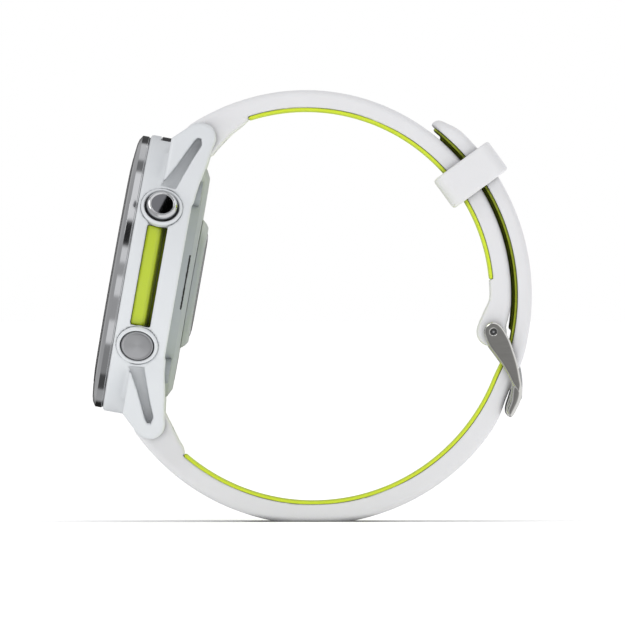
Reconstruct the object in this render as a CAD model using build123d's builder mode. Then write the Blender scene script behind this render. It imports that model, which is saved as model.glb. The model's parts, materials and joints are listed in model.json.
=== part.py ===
from build123d import *
from math import acos, atan2, cos, degrees, hypot, radians, sin
import os

os.makedirs("parts", exist_ok=True)

# A GPS running watch, buckled into a closed loop and standing on its lower strap.
# Millimetres. +X runs from the case towards the buckle, +Y from the 3 o'clock side to the 9 o'clock side,
# +Z is up. The origin is on the ground, under the middle of the loop.

# ---------------------------------------------------------------- driving dimensions: the case
case_tilt = 10.1          # the display leans back by this angle
case_radius = 23.4
case_bottom = 3.5         # heights in the case are measured from the wrist side of the sensor
case_top = 12.33
bezel_bottom = 12.58
lens_front = 14.78
cavity_radius = 19.6
back_centre = (-18.87, 0, 39.45)
button_height = 8.35

pin_radius = 0.9          # lug pins, which the straps turn on
pin_reach = 24.25         # from the case's centre to each lug pin
pin_height = 4.08
lug_gap = 22.5
lug_tip_radius = 2.58

# ---------------------------------------------------------------- driving dimensions: the strap
strap_width = 22.0
buckle_end_width = 20.0
liner_thickness = 0.5
upper_centre = (-1.1, 37.73)     # the upper strap, the keeper and the strap's tail share this centre
upper_inner = 30.8
upper_outer = 34.25
tail_inner = 34.85
tail_outer = 37.7
lower_centre = (0.07, 35.85)
lower_inner = 32.45
lower_outer = 36.3
slot_length = 3.6
slot_width = 2.2
slot_pitch = 5.6

buckle_pin = (30.15, 31.68)
buckle_pin_radius = 0.75
arm_inside = 10.5
arm_outside = 12.25
keeper_angle = 36.2
keeper_radius = 34.15     # of the keeper's middle, from the upper strap's centre
keeper_length = 5.8
keeper_half_width = 12.3
keeper_height = 11.1
keeper_clearance = 0.25
running_gap = 0.05

# ---------------------------------------------------------------- planes and small helpers
twelve = Vector(sin(radians(case_tilt)), 0, cos(radians(case_tilt)))
outward = Vector(-cos(radians(case_tilt)), 0, sin(radians(case_tilt)))
three = Vector(0, -1, 0)
# sketches on face are seen from the front of the display; those on side are in (towards 12 o'clock, outward)
face = Plane(origin=back_centre, x_dir=three, z_dir=outward)
side = Plane(origin=back_centre, x_dir=twelve, z_dir=three)
case_axis = Axis(back_centre, outward)


def polar(centre, radius, angle):
    """The point of the side view that is radius from centre at angle degrees from +X."""
    return (centre[0] + radius * cos(radians(angle)), centre[1] + radius * sin(radians(angle)))


def along(angle):
    """The direction of increasing angle on a circle."""
    return (-sin(radians(angle)), cos(radians(angle)))


def bearing(start, end):
    """Distance and angle from one point of the side view to another."""
    return hypot(end[0] - start[0], end[1] - start[1]), degrees(atan2(end[1] - start[1], end[0] - start[0]))


def radial_plane(angle, radius, height=button_height):
    """A plane square to the case's radius at angle (0 is 3 o'clock, 90 is 12 o'clock)."""
    direction = three * cos(radians(angle)) + twelve * sin(radians(angle))
    origin = Vector(back_centre) + outward * height + direction * radius
    return Plane(origin=origin, x_dir=outward, z_dir=direction)


def save(piece, name):
    piece.part.label = name
    export_step(piece.part, f"parts/{name}.step")


def ring(outer, inner, low, high):
    """A plain ring on the case's axis, for the part being built."""
    with BuildSketch(face.offset(low)) as outline:
        Circle(outer)
        Circle(inner, mode=Mode.SUBTRACT)
    extrude(outline.sketch, amount=high - low)


def disc(radius, low, high, x=0.0, y=0.0, mode=Mode.ADD):
    """A plain round piece parallel to the display, for the part being built."""
    with BuildSketch(face.offset(low)) as outline:
        with Locations((x, y)):
            Circle(radius)
    extrude(outline.sketch, amount=high - low, mode=mode)


def block(x, y, low, high, centre=(0.0, 0.0), corner=0.0, mode=Mode.ADD):
    """A plain rectangular piece parallel to the display, for the part being built."""
    with BuildSketch(face.offset(low)) as outline:
        with Locations(centre):
            if corner:
                RectangleRounded(x, y, corner)
            else:
                Rectangle(x, y)
    extrude(outline.sketch, amount=high - low, mode=mode)


def turned(*points):
    """A turned shape about the case's axis from (radius, height) points, for the part being built."""
    with BuildSketch(side) as outline:
        with BuildLine():
            Polyline(*points, close=True)
        make_face()
    revolve(outline.sketch, axis=case_axis)


# ---------------------------------------------------------------- buttons
# name, angle round the case, radius of the cap, radius at which its face lies
buttons = [
    ("start_button", 30, 2.6, 24.65),
    ("back_button", -30, 2.75, 23.7),
    ("light_button", 150, 2.6, 24.0),
    ("up_button", 180, 2.6, 24.0),
    ("down_button", 210, 2.6, 24.0),
]
bore_radius = 2.87
guard_radius = 3.5
guard_floor = 22.6
guard_face = 23.75
bore_floor = 21.1
cap_underside = 22.35
cap_round = 0.35
clip_radius = 19.1        # where each stem's groove and its clip lie
clip_thickness = 0.25
clip_bore = 0.6
stem_radius = 0.9
seal_radius = 1.75
seal_seat = 20.3

# ---------------------------------------------------------------- case body, with its four lugs
strip_low = 6.75
strip_high = 10.17
strip_half_length = 8.4
strip_floor = 22.0
strip_face = 22.85
window_floor = 21.9
window_height = 9.65
window_size = (1.7, 11.0)
light_height = 9.3        # the light-emitting diodes behind the window
lug_side = 19.0
lug_root = 13.5           # how far the lugs reach into the round wall
tip_y, tip_z = pin_reach - 0.05, pin_height
shoulder = (case_radius - 0.1, 8.8)
screw_circle = 21.2
screw_places = [polar((0, 0), screw_circle, a) for a in (45, 135, 225, 315)]
ear_radius = 2.1
back_rim_radius = 20.4
tip_reach, tip_bearing = bearing((tip_y, tip_z), shoulder)
shoulder_angle = tip_bearing - degrees(acos(lug_tip_radius / tip_reach))
tip_end_angle = -108
rim_chamfer = 0.25
stem_bore_start = 18.5    # the bores for the buttons' stems open into the case here
pin_hollow_radius = 3.1
pin_half_length = 14.1


def lug_profile(sign):
    """Side outline of a lug: a sloping shoulder, a round tip and a hollowed back edge."""
    tip = (tip_y, tip_z)
    points = [polar(tip, lug_tip_radius, a) for a in (shoulder_angle, -30, tip_end_angle)]
    back = [(19.3, 2.33), (lug_root, case_bottom)]
    points = [(sign * y, z) for y, z in points]
    back = [(sign * y, z) for y, z in back]
    with BuildLine() as outline:
        Polyline(
            (sign * lug_root, case_bottom), (sign * lug_root, shoulder[1]), (sign * shoulder[0], shoulder[1]),
            points[0],
        )
        ThreePointArc(*points)
        Spline(points[2], *back)
    make_face(outline.edges())


with BuildPart() as case_body:
    with BuildSketch(face.offset(case_bottom)):
        Circle(case_radius)
    extrude(amount=case_top - case_bottom)
    for sign in (-1, 1):
        for start in (lug_gap / 2, -lug_side):
            with BuildSketch(side.offset(start)):
                lug_profile(sign)
            extrude(amount=lug_side - lug_gap / 2)
    with BuildSketch(face):
        Circle(case_radius)
        with GridLocations(28.0, 51.2, 2, 2):
            Circle(1.4)
        make_hull()
    extrude(amount=lens_front, mode=Mode.INTERSECT)
    disc(cavity_radius, 0, lens_front, mode=Mode.SUBTRACT)
    # room for the back's rim and its four ears
    disc(back_rim_radius + 0.05, 0, case_bottom, mode=Mode.SUBTRACT)
    for place in screw_places:
        disc(ear_radius + 0.05, 0, case_bottom, *place, Mode.SUBTRACT)
    # the hollow round each lug pin, between the lugs
    for sign in (-1, 1):
        with BuildSketch(side):
            with Locations((sign * pin_reach, pin_height)):
                Circle(pin_hollow_radius)
        extrude(amount=lug_gap / 2, both=True, mode=Mode.SUBTRACT)
        with BuildSketch(side):
            with Locations((sign * pin_reach, pin_height)):
                Circle(pin_radius)
        extrude(amount=pin_half_length + 0.1, both=True, mode=Mode.SUBTRACT)
    # recess for the accent strip on the 3 o'clock side
    with BuildSketch(face.offset(strip_low)):
        with Locations((case_radius, 0)):
            Rectangle(6.8, 2 * strip_half_length)
        Circle(strip_floor, mode=Mode.SUBTRACT)
    extrude(amount=strip_high - strip_low, mode=Mode.SUBTRACT)
    # button bores
    for name, angle, cap_radius, cap_face in buttons:
        bores = ((guard_radius, guard_floor), (bore_radius, bore_floor), (stem_radius, stem_bore_start))
        for radius, start in bores:
            with BuildSketch(radial_plane(angle, start)):
                Circle(radius)
            extrude(amount=2 * guard_radius + guard_floor - start, mode=Mode.SUBTRACT)
        with BuildSketch(radial_plane(angle, stem_bore_start)):
            Circle(seal_radius)
        extrude(amount=seal_seat - stem_bore_start, mode=Mode.SUBTRACT)
    # flashlight window on the 12 o'clock side
    with BuildSketch(radial_plane(90, window_floor, window_height)):
        Rectangle(*window_size)
    extrude(amount=3.0, mode=Mode.SUBTRACT)
    with BuildSketch(radial_plane(90, stem_bore_start, light_height)):
        Rectangle(1.0, 7.0)
    extrude(amount=4.0, mode=Mode.SUBTRACT)
    # threaded holes for the back's screws
    for place in screw_places:
        disc(0.7, 0, 7.6, *place, Mode.SUBTRACT)
    circles = case_body.edges().filter_by(GeomType.CIRCLE)
    rim = circles.filter_by(lambda e: abs(e.radius - case_radius) < 0.01)
    chamfer(rim.group_by(SortBy.LENGTH)[-1], rim_chamfer)
save(case_body, "case_body")

# ---------------------------------------------------------------- bezel, lens and display
lens_radius = 19.6
lens_seat = 13.2
lens_back = 13.4
ledge_radius = 18.4
bezel_foot = 22.4
bezel_radius = 23.0

with BuildPart() as bezel:
    turned(
        (ledge_radius, case_top), (bezel_foot, case_top), (bezel_foot, bezel_bottom),
        (bezel_radius, bezel_bottom), (bezel_radius, 13.67), (22.2, 14.17), (21.4, 14.38),
        (lens_radius + running_gap, 14.58), (lens_radius + running_gap, lens_seat), (ledge_radius, lens_seat),
    )
save(bezel, "bezel")

with BuildPart() as display_lens:
    turned(
        (0, lens_back), (lens_radius, lens_back), (lens_radius, 14.55), (18.2, 14.72), (16.8, lens_front),
        (0, lens_front),
    )
save(display_lens, "display_lens")

with BuildPart() as lens_gasket:
    ring(19.5, 18.5, lens_seat, lens_back)
save(lens_gasket, "lens_gasket")

display_radius = 18.2
display_back = 12.1
chassis_back = 11.0
boss_circle = 15.5
boss_radius = 1.2

with BuildPart() as display_module:
    disc(display_radius, display_back, lens_back)
save(display_module, "display_module")

with BuildPart() as display_chassis:
    disc(display_radius, chassis_back, display_back)
    block(16, 10, chassis_back, display_back, corner=2, mode=Mode.SUBTRACT)
    for angle in (60, 180, 300):
        disc(boss_radius, chassis_back, display_back, *polar((0, 0), boss_circle, angle), Mode.SUBTRACT)
save(display_chassis, "display_chassis")

board_low = 10.1
board_high = 10.9
shield_low = 8.9

with BuildPart() as main_board:
    disc(19.3, board_low, board_high)
    disc(boss_radius, board_low, board_high, boss_circle, 0, Mode.SUBTRACT)
    block(3, 1.6, board_low, board_high, (0, 18.6), mode=Mode.SUBTRACT)
save(main_board, "main_board")

with BuildPart() as antenna_contacts:
    for angle in (70, 190, 310):
        block(0.8, 0.8, board_high, case_top, polar((0, 0), 18.85, angle))
save(antenna_contacts, "antenna_contacts")

with BuildPart() as shield_cans:
    block(10, 9, shield_low, board_low, (6, 4), 0.6)
    block(8, 6, shield_low, board_low, (-6, 6), 0.6)
    block(7, 7, shield_low, board_low, (-5, -5), 0.6)
save(shield_cans, "shield_cans")

# ---------------------------------------------------------------- battery, motor and other modules
module_floor = 4.8
battery_centre = (3.5, 0)
vent_place = (-9.5, -12.8)

with BuildPart() as battery:
    block(20, 26, module_floor, 8.4, battery_centre, 5.0)
save(battery, "battery")

with BuildPart() as battery_pad:
    block(16, 20, module_floor - 0.2, module_floor, battery_centre, 2.0)
save(battery_pad, "battery_pad")

with BuildPart() as vibration_motor:
    disc(3.8, module_floor, 7.4, -11.0, 5.0)
save(vibration_motor, "vibration_motor")

with BuildPart() as speaker:
    block(6.4, 7.3, module_floor, 7.6, (-10.4, -5.8), 0.8)
save(speaker, "speaker")

with BuildPart() as pressure_sensor:
    disc(1.6, 2.9, 4.4, *vent_place)
save(pressure_sensor, "pressure_sensor")

# ---------------------------------------------------------------- the back and its sensor
back_face = 1.42
back_inside = 2.6
wall_outside = 19.45      # the wall that stands up into the case, and holds the gasket
wall_inside = 18.3
wall_top = 4.6
groove_low = 3.9
groove_width = 0.5
groove_radius = 19.0
screw_shaft_radius = 0.7
screw_head_radius = 1.3
screw_head_low = 2.25
screw_head_high = 3.0
sensor_seat_radius = 9.0
sensor_radius = 8.85
sensor_board_low = 2.8
port_centre = (0, -14.4)
port_size = (9.4, 3.8)
port_floor = 1.9
contact_radius = 0.5
contact_places = [(1.7 * (index - 1.5), port_centre[1]) for index in range(4)]

with BuildPart() as caseback:
    turned(
        (sensor_seat_radius, back_face), (17.9, back_face), (19.2, 2.08), (back_rim_radius, case_bottom),
        (wall_outside, case_bottom), (wall_outside, wall_top), (wall_inside, wall_top),
        (wall_inside, back_inside), (sensor_seat_radius, back_inside),
    )
    for place in screw_places:
        with BuildSketch(face.offset(2.3)):
            with Locations(place):
                Circle(ear_radius)
            Circle(groove_radius, mode=Mode.SUBTRACT)
        extrude(amount=case_bottom - 2.3)
    for place in screw_places:
        disc(screw_head_radius + running_gap, 0, screw_head_high, *place, Mode.SUBTRACT)
        disc(screw_shaft_radius, 0, case_bottom + 1, *place, Mode.SUBTRACT)
    block(*port_size, 0, 3.5, port_centre, 1.0, Mode.SUBTRACT)
    disc(0.8, 0, 3, *vent_place, Mode.SUBTRACT)
    with BuildSketch(face.offset(groove_low)):
        Circle(cavity_radius)
        Circle(groove_radius, mode=Mode.SUBTRACT)
    extrude(amount=groove_width, mode=Mode.SUBTRACT)
save(caseback, "caseback")

with BuildPart() as caseback_gasket:
    ring(cavity_radius, groove_radius, groove_low, groove_low + groove_width)
save(caseback_gasket, "caseback_gasket")

with BuildPart() as caseback_screws:
    for place in screw_places:
        disc(screw_head_radius, screw_head_low, screw_head_high, *place)
        disc(screw_shaft_radius, screw_head_high, 7.5, *place)
        with BuildSketch(face.offset(screw_head_low)):
            with Locations(place):
                RegularPolygon(0.62, 6)
        extrude(amount=0.45, mode=Mode.SUBTRACT)
save(caseback_screws, "caseback_screws")

with BuildPart() as sensor_window:
    turned((0, 0), (8.3, 0), (sensor_radius, 0.2), (sensor_radius, 1.9), (0, 1.9))
save(sensor_window, "sensor_window")

with BuildPart() as sensor_ring:
    inner_radius = sensor_radius + running_gap
    turned((inner_radius, 0.2), (9.6, 0.15), (10.2, 0.5), (10.9, back_face), (inner_radius, back_face))
save(sensor_ring, "sensor_ring")

with BuildPart() as sensor_board:
    disc(8.6, sensor_board_low, sensor_board_low + 0.6)
save(sensor_board, "sensor_board")

with BuildPart() as sensor_leds:
    for angle in (0, 90, 180, 270):
        block(1.6, 1.6, 2.2, sensor_board_low, polar((0, 0), 2.6, angle))
save(sensor_leds, "sensor_leds")

with BuildPart() as photodiodes:
    for angle in range(22, 382, 60):
        block(1.8, 1.8, 2.2, sensor_board_low, polar((0, 0), 6.2, angle))
save(photodiodes, "photodiodes")

with BuildPart() as charging_port:
    block(*port_size, port_floor, 3.4, port_centre, 1.0)
    for place in contact_places:
        disc(contact_radius, port_floor, 3.4, *place, Mode.SUBTRACT)
save(charging_port, "charging_port")

with BuildPart() as charging_contacts:
    for place in contact_places:
        disc(contact_radius, port_floor - 0.15, 3.7, *place)
save(charging_contacts, "charging_contacts")

# ---------------------------------------------------------------- accent strip and flashlight
with BuildPart() as accent_strip:
    with BuildSketch(face.offset(strip_low)):
        with Locations((case_radius, 0)):
            Rectangle(6.8, 2 * strip_half_length)
        Circle(strip_floor, mode=Mode.SUBTRACT)
        Circle(strip_face, mode=Mode.INTERSECT)
    extrude(amount=strip_high - strip_low)
save(accent_strip, "accent_strip")

with BuildPart() as flashlight_window:
    with BuildSketch(radial_plane(90, window_floor, window_height)):
        Rectangle(*window_size)
    extrude(amount=0.75)
save(flashlight_window, "flashlight_window")

with BuildPart() as flashlight_board:
    with BuildSketch(radial_plane(90, 18.0, 8.8)):
        Rectangle(2.2, 6.0)
    extrude(amount=0.6)
    with BuildSketch(radial_plane(90, 18.6, light_height)):
        with GridLocations(0, 2.2, 1, 2):
            Rectangle(0.8, 1.4)
    extrude(amount=0.5)
save(flashlight_board, "flashlight_board")

# ---------------------------------------------------------------- button fittings that stay with the case
with BuildPart() as button_guards:
    for name, angle, cap_radius, cap_face in buttons:
        with BuildSketch(radial_plane(angle, guard_floor)):
            Circle(guard_radius)
            Circle(bore_radius, mode=Mode.SUBTRACT)
        extrude(amount=guard_face - guard_floor)
save(button_guards, "button_guards")

with BuildPart() as button_seals:
    for name, angle, cap_radius, cap_face in buttons:
        with BuildSketch(radial_plane(angle, 19.7)):
            Circle(seal_radius)
            Circle(stem_radius + running_gap, mode=Mode.SUBTRACT)
        extrude(amount=0.55)
save(button_seals, "button_seals")

with BuildPart() as button_springs:
    for name, angle, cap_radius, cap_face in buttons:
        with BuildSketch(radial_plane(angle, bore_floor)):
            Circle(2.3)
            Circle(1.3, mode=Mode.SUBTRACT)
        extrude(amount=0.6)
save(button_springs, "button_springs")

with BuildPart() as button_switches:
    for name, angle, cap_radius, cap_face in buttons:
        with BuildSketch(radial_plane(angle, 17.2)):
            Rectangle(2.8, 3.0)
        extrude(amount=0.7)
        with BuildSketch(radial_plane(angle, 17.9)):
            Circle(0.8)
        extrude(amount=0.3)
save(button_switches, "button_switches")

flex_radii = (16.9, 17.1)
with BuildPart() as switch_flex:
    for middle, span in ((0, 44), (180, 44)):
        with BuildSketch(face.offset(7.0)):
            with BuildLine():
                for radius in flex_radii:
                    CenterArc((0, 0), radius, middle - span, 2 * span)
                for end in (middle - span, middle + span):
                    Line(*[polar((0, 0), radius, end) for radius in flex_radii])
            make_face()
        extrude(amount=2.7)
save(switch_flex, "switch_flex")

# ---------------------------------------------------------------- button caps, each with its clip
for name, angle, cap_radius, cap_face in buttons:
    with BuildPart() as cap:
        with BuildSketch(radial_plane(angle, cap_underside)):
            Circle(cap_radius)
        extrude(amount=cap_face - cap_underside)
        press_axis = Axis(back_centre, radial_plane(angle, 0).z_dir)
        fillet(cap.edges().filter_by(GeomType.CIRCLE).sort_by(press_axis)[-1], cap_round)
        with BuildSketch(radial_plane(angle, cap_underside)):
            Circle(stem_radius - running_gap)
        extrude(amount=-(cap_underside - 18.9))
        with BuildSketch(radial_plane(angle, clip_radius)):
            Circle(stem_radius)
            Circle(clip_bore, mode=Mode.SUBTRACT)
        extrude(amount=clip_thickness, mode=Mode.SUBTRACT)
    save(cap, name)
    with BuildPart() as clip:
        with BuildSketch(radial_plane(angle, clip_radius)):
            Circle(1.6)
            Circle(clip_bore, mode=Mode.SUBTRACT)
            with Locations((1.2, 0)):
                Rectangle(2.4, 0.9, mode=Mode.SUBTRACT)
        extrude(amount=clip_thickness)
    save(clip, name.replace("button", "clip"))

# ---------------------------------------------------------------- lug pins
with BuildPart() as lug_pins:
    for sign in (-1, 1):
        with BuildSketch(side):
            with Locations((sign * pin_reach, pin_height)):
                Circle(pin_radius)
        extrude(amount=pin_half_length, both=True)
save(lug_pins, "lug_pins")

# ---------------------------------------------------------------- strap ends, which clip on the lug pins
upper_pin_3d = Vector(back_centre) + twelve * pin_reach + outward * pin_height
lower_pin_3d = Vector(back_centre) - twelve * pin_reach + outward * pin_height
upper_pin = (upper_pin_3d.X, upper_pin_3d.Z)
lower_pin = (lower_pin_3d.X, lower_pin_3d.Z)
upper_pin_angle = bearing(upper_centre, upper_pin)[1]
lower_pin_angle = bearing(lower_centre, lower_pin)[1]
upper_away = along(upper_pin_angle)
lower_away = along(lower_pin_angle)
# sketches on these planes are in (along the strap, away from the wrist), from the pin
upper_end = Plane(origin=upper_pin_3d, x_dir=(-upper_away[0], 0, -upper_away[1]), z_dir=(0, -1, 0))
lower_end = Plane(origin=lower_pin_3d, x_dir=(lower_away[0], 0, lower_away[1]), z_dir=(0, 1, 0))

link_radius = 2.2
link_half_width = 9.2
latch_half_width = 4.4
spring_start = 3.4        # along the strap, from the pin
spring_end = 6.7


def link_outline():
    """Side outline of a strap's stiff end: a knuckle round the pin and a tongue into the strap."""
    Circle(link_radius)
    with Locations((3.2, 0.3)):
        Rectangle(6.4, 1.6)


def cut_pin_mouth(end_plane):
    """The bore for the lug pin and the slot on the wrist side that lets the pin in."""
    with BuildSketch(end_plane) as bore:
        Circle(pin_radius + running_gap)
    extrude(bore.sketch, amount=strap_width, both=True, mode=Mode.SUBTRACT)
    with BuildSketch(end_plane) as slot:
        with Locations((0, -2.5)):
            Rectangle(1.76, 5.0)
    extrude(slot.sketch, amount=link_half_width, both=True, mode=Mode.SUBTRACT)


def cut_latch_channel(end_plane):
    """The open channel that the latch slides in, and the groove for its rib and spring."""
    with BuildSketch(end_plane) as channel:
        with Locations((2.5, -3.5)):
            Rectangle(8.6, 3.0)
    extrude(channel.sketch, amount=latch_half_width + 0.2, both=True, mode=Mode.SUBTRACT)
    with BuildSketch(end_plane) as groove:
        with Locations((4.3, -1.3)):
            Rectangle(5.0, 1.5)
    extrude(groove.sketch, amount=1.2, both=True, mode=Mode.SUBTRACT)


for name, end_plane in (("upper", upper_end), ("lower", lower_end)):
    with BuildPart() as end_link:
        with BuildSketch(end_plane):
            link_outline()
        extrude(amount=link_half_width, both=True)
        cut_pin_mouth(end_plane)
        cut_latch_channel(end_plane)
    save(end_link, f"{name}_end_link")

    with BuildPart() as latch:
        with BuildSketch(end_plane):
            with Locations((1.05, -2.4)):
                Rectangle(4.7, 0.7)
            with Locations((2.7, -2.95)):
                Rectangle(1.4, 0.5)
        extrude(amount=latch_half_width, both=True)
        with BuildSketch(end_plane):
            with Locations((2.7, -1.6)):
                Rectangle(1.2, 1.0)
        extrude(amount=1.0, both=True)
    save(latch, f"{name}_latch")

    spring_foot = end_plane.from_local_coords((spring_start, -1.4, 0))
    with BuildPart() as latch_spring:
        with BuildSketch(Plane(origin=spring_foot, x_dir=(0, 1, 0), z_dir=end_plane.x_dir)):
            Circle(0.55)
            Circle(0.3, mode=Mode.SUBTRACT)
        extrude(amount=spring_end - spring_start)
    save(latch_spring, f"{name}_latch_spring")

# ---------------------------------------------------------------- strap widths
taper_start = -14
taper_end = 16


def trim_to_width():
    """Narrow the part being built from the lugs' width to the buckle's."""
    with BuildSketch(Plane.XY.offset(-2)) as outline:
        with BuildLine():
            wide, narrow = strap_width / 2, buckle_end_width / 2
            Polyline(
                (-34, -wide), (taper_start, -wide), (taper_end, -narrow), (40, -narrow),
                (40, narrow), (taper_end, narrow), (taper_start, wide), (-34, wide), close=True,
            )
        make_face()
    extrude(outline.sketch, amount=80, mode=Mode.INTERSECT)


# ---------------------------------------------------------------- upper strap
crown_angle = 100         # past here the outside falls away on a flatter arc, down to the lug
crown_radius = 36.37
crown_centre = polar(upper_centre, upper_outer - crown_radius, crown_angle)
crown_reach, crown_end = bearing(crown_centre, upper_pin)
upper_knuckle = crown_radius - crown_reach
liner_start = 108
liner_end = 5.2
knuckle_centre = (buckle_pin[0] - 0.2, buckle_pin[1])
knuckle_radius = 2.45

with BuildPart() as upper_strap_liner:
    with BuildSketch(Plane.XZ):
        with BuildLine():
            CenterArc(upper_centre, upper_inner, liner_end, liner_start - liner_end)
            CenterArc(upper_centre, upper_inner + liner_thickness, liner_end, liner_start - liner_end)
            for end in (liner_start, liner_end):
                Line(*[polar(upper_centre, upper_inner + offset, end) for offset in (0, liner_thickness)])
        make_face()
    extrude(amount=strap_width, both=True)
    trim_to_width()
save(upper_strap_liner, "upper_strap_liner")

with BuildPart() as upper_strap_band:
    with BuildSketch(Plane.XZ):
        with BuildLine():
            outside = CenterArc(upper_centre, upper_outer, -3, crown_angle + 3)
            CenterArc(crown_centre, crown_radius, crown_angle, crown_end - crown_angle)
            knuckle = CenterArc(upper_pin, upper_knuckle, crown_end, 310 - crown_end)
            Spline(
                knuckle @ 1, polar(upper_centre, upper_inner, liner_start),
                tangents=(along(310), [-c for c in along(liner_start)]),
            )
            CenterArc(upper_centre, upper_inner, liner_start, -liner_start)
            heel = CenterArc(knuckle_centre, knuckle_radius, 180, 200)
            Spline(polar(upper_centre, upper_inner, 0), (28.5, 34.6), heel @ 0, tangents=((0, -1), (0, -1)))
            Line(heel @ 1, outside @ 0)
        make_face()
    extrude(amount=strap_width, both=True)
    trim_to_width()
    add(upper_strap_liner.part, mode=Mode.SUBTRACT)
    with BuildSketch(upper_end):
        link_outline()
    extrude(amount=link_half_width, both=True, mode=Mode.SUBTRACT)
    cut_pin_mouth(upper_end)
    cut_latch_channel(upper_end)
    # the buckle pin's bore and the notch for the tang
    with BuildSketch(Plane.XZ):
        with Locations(buckle_pin):
            Circle(buckle_pin_radius)
    extrude(amount=strap_width, both=True, mode=Mode.SUBTRACT)
    with BuildSketch(Plane.XZ):
        with Locations((buckle_pin[0] + 0.6, buckle_pin[1] - 0.6)):
            Rectangle(6.8, 5.4)
    extrude(amount=1.8, both=True, mode=Mode.SUBTRACT)
save(upper_strap_band, "upper_strap_band")

# ---------------------------------------------------------------- lower strap, up to the tip of its tail
lower_knuckle = lower_outer - bearing(lower_centre, lower_pin)[0]
lower_liner_start = -131
bend_start = -22          # where the strap leaves the lower arc, on its inside
bend_end = -12            # where it joins the upper strap's centre, on its inside
tip_angle = 52.5
shoulder_of_tip = 46


def inside_of_lower_strap(offset, start_angle):
    """The wrist side of the lower strap from start_angle to the tip, moved outwards by offset."""
    low = CenterArc(lower_centre, lower_inner + offset, start_angle, bend_start - start_angle)
    high = CenterArc(upper_centre, tail_inner + offset, bend_end, tip_angle - bend_end)
    Spline(low @ 1, high @ 0, tangents=(along(bend_start), along(bend_end)))
    return low @ 0, high @ 1


def strap_slots():
    """Centres and outward angles of the strap's slots: the tang's own, six below it and seven above it."""
    places = []
    tang_slot = (33.35, 27.2)
    places.append((tang_slot, -19.0, 6.4))
    lower_pitch = degrees(slot_pitch / lower_inner)
    upper_pitch = degrees(slot_pitch / tail_outer)
    for step in range(6):
        angle = -27.0 - lower_pitch * step
        places.append((polar(lower_centre, 34.2, angle), angle, slot_length))
    for step in range(7):
        angle = -7.6 + upper_pitch * step
        places.append((polar(upper_centre, 36.3, angle), angle, slot_length))
    return places


def cut_strap_slots():
    for place, angle, length in strap_slots():
        direction = Vector(cos(radians(angle)), 0, sin(radians(angle)))
        plane = Plane(origin=(place[0], 0, place[1]), x_dir=(0, 1, 0), z_dir=direction)
        with BuildSketch(plane) as slot:
            SlotOverall(length, slot_width, rotation=90)
        extrude(slot.sketch, amount=3.0, both=True, mode=Mode.SUBTRACT)


with BuildPart() as lower_strap_liner:
    with BuildSketch(Plane.XZ):
        with BuildLine():
            inner_ends = inside_of_lower_strap(0, lower_liner_start)
            outer_ends = inside_of_lower_strap(liner_thickness, lower_liner_start)
            for a, b in zip(inner_ends, outer_ends):
                Line(a, b)
        make_face()
    extrude(amount=strap_width, both=True)
    trim_to_width()
    cut_strap_slots()
save(lower_strap_liner, "lower_strap_liner")

with BuildPart() as lower_strap_band:
    with BuildSketch(Plane.XZ):
        with BuildLine():
            foot = CenterArc(lower_centre, lower_outer, lower_pin_angle, -38 - lower_pin_angle)
            back = CenterArc(upper_centre, tail_outer, -16, shoulder_of_tip + 16)
            Spline(
                foot @ 1, (31.0, 17.2), (32.35, 20.75), (33.6, 23.75), back @ 0,
                tangents=(along(-38), along(-16)),
            )
            tip_end = polar(upper_centre, 36.4, 53.5)
            ThreePointArc(back @ 1, polar(upper_centre, 37.25, 50), tip_end)
            RadiusArc(tip_end, polar(upper_centre, tail_inner, tip_angle), -0.9)
            inside = inside_of_lower_strap(0, lower_pin_angle + 10)
            heel = CenterArc(lower_pin, lower_knuckle, lower_pin_angle, -190)
            Spline(
                heel @ 1, inside[0],
                tangents=([-c for c in along(lower_pin_angle - 190)], along(lower_pin_angle + 10)),
            )
        make_face()
    extrude(amount=strap_width, both=True)
    trim_to_width()
    with BuildSketch(Plane.XY):
        Rectangle(80, 40)
    extrude(amount=-5, mode=Mode.SUBTRACT)
    add(lower_strap_liner.part, mode=Mode.SUBTRACT)
    cut_strap_slots()
    with BuildSketch(lower_end):
        link_outline()
    extrude(amount=link_half_width, both=True, mode=Mode.SUBTRACT)
    cut_pin_mouth(lower_end)
    cut_latch_channel(lower_end)
save(lower_strap_band, "lower_strap_band")

# ---------------------------------------------------------------- keeper
with BuildPart() as strap_keeper:
    with BuildSketch(Plane.XZ):
        with Locations(Location(polar(upper_centre, keeper_radius, keeper_angle), keeper_angle)):
            RectangleRounded(keeper_height, keeper_length, 0.6)
    extrude(amount=keeper_half_width, both=True)
    with BuildSketch(Plane.XZ):
        with Locations(upper_centre):
            Circle(tail_outer + keeper_clearance)
            Circle(upper_inner - keeper_clearance, mode=Mode.SUBTRACT)
    extrude(amount=buckle_end_width / 2 + 0.35, both=True, mode=Mode.SUBTRACT)
save(strap_keeper, "strap_keeper")

# ---------------------------------------------------------------- buckle: pin, frame and tang
with BuildPart() as pin:
    with BuildSketch(Plane.XZ):
        with Locations(buckle_pin):
            Circle(buckle_pin_radius)
    extrude(amount=arm_outside - 0.1, both=True)
save(pin, "buckle_pin")

eye_radius = 1.4
tang_half_width = 0.85


def arm_outline():
    """Side outline of the buckle's arms, from the eye round the pin to the rounded far end."""
    with BuildLine() as outline:
        eye_top = polar(buckle_pin, eye_radius, 45)
        eye_left = polar(buckle_pin, eye_radius, 205)
        outer = Spline(
            eye_top, (33.0, 30.0), (34.4, 26.3), (35.0, 22.6), (34.35, 19.8), (32.75, 17.5),
            tangents=(along(-45), (-0.6, -0.8)),
        )
        inner = Spline(
            (32.1, 17.95), (32.35, 20.6), (32.95, 23.4), (32.3, 25.5), (30.5, 28.0), eye_left,
            tangents=((0, 1), along(115)),
        )
        RadiusArc(outer @ 1, inner @ 0, 0.45)
        CenterArc(buckle_pin, eye_radius, 45, 160)
    make_face(outline.edges())


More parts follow.
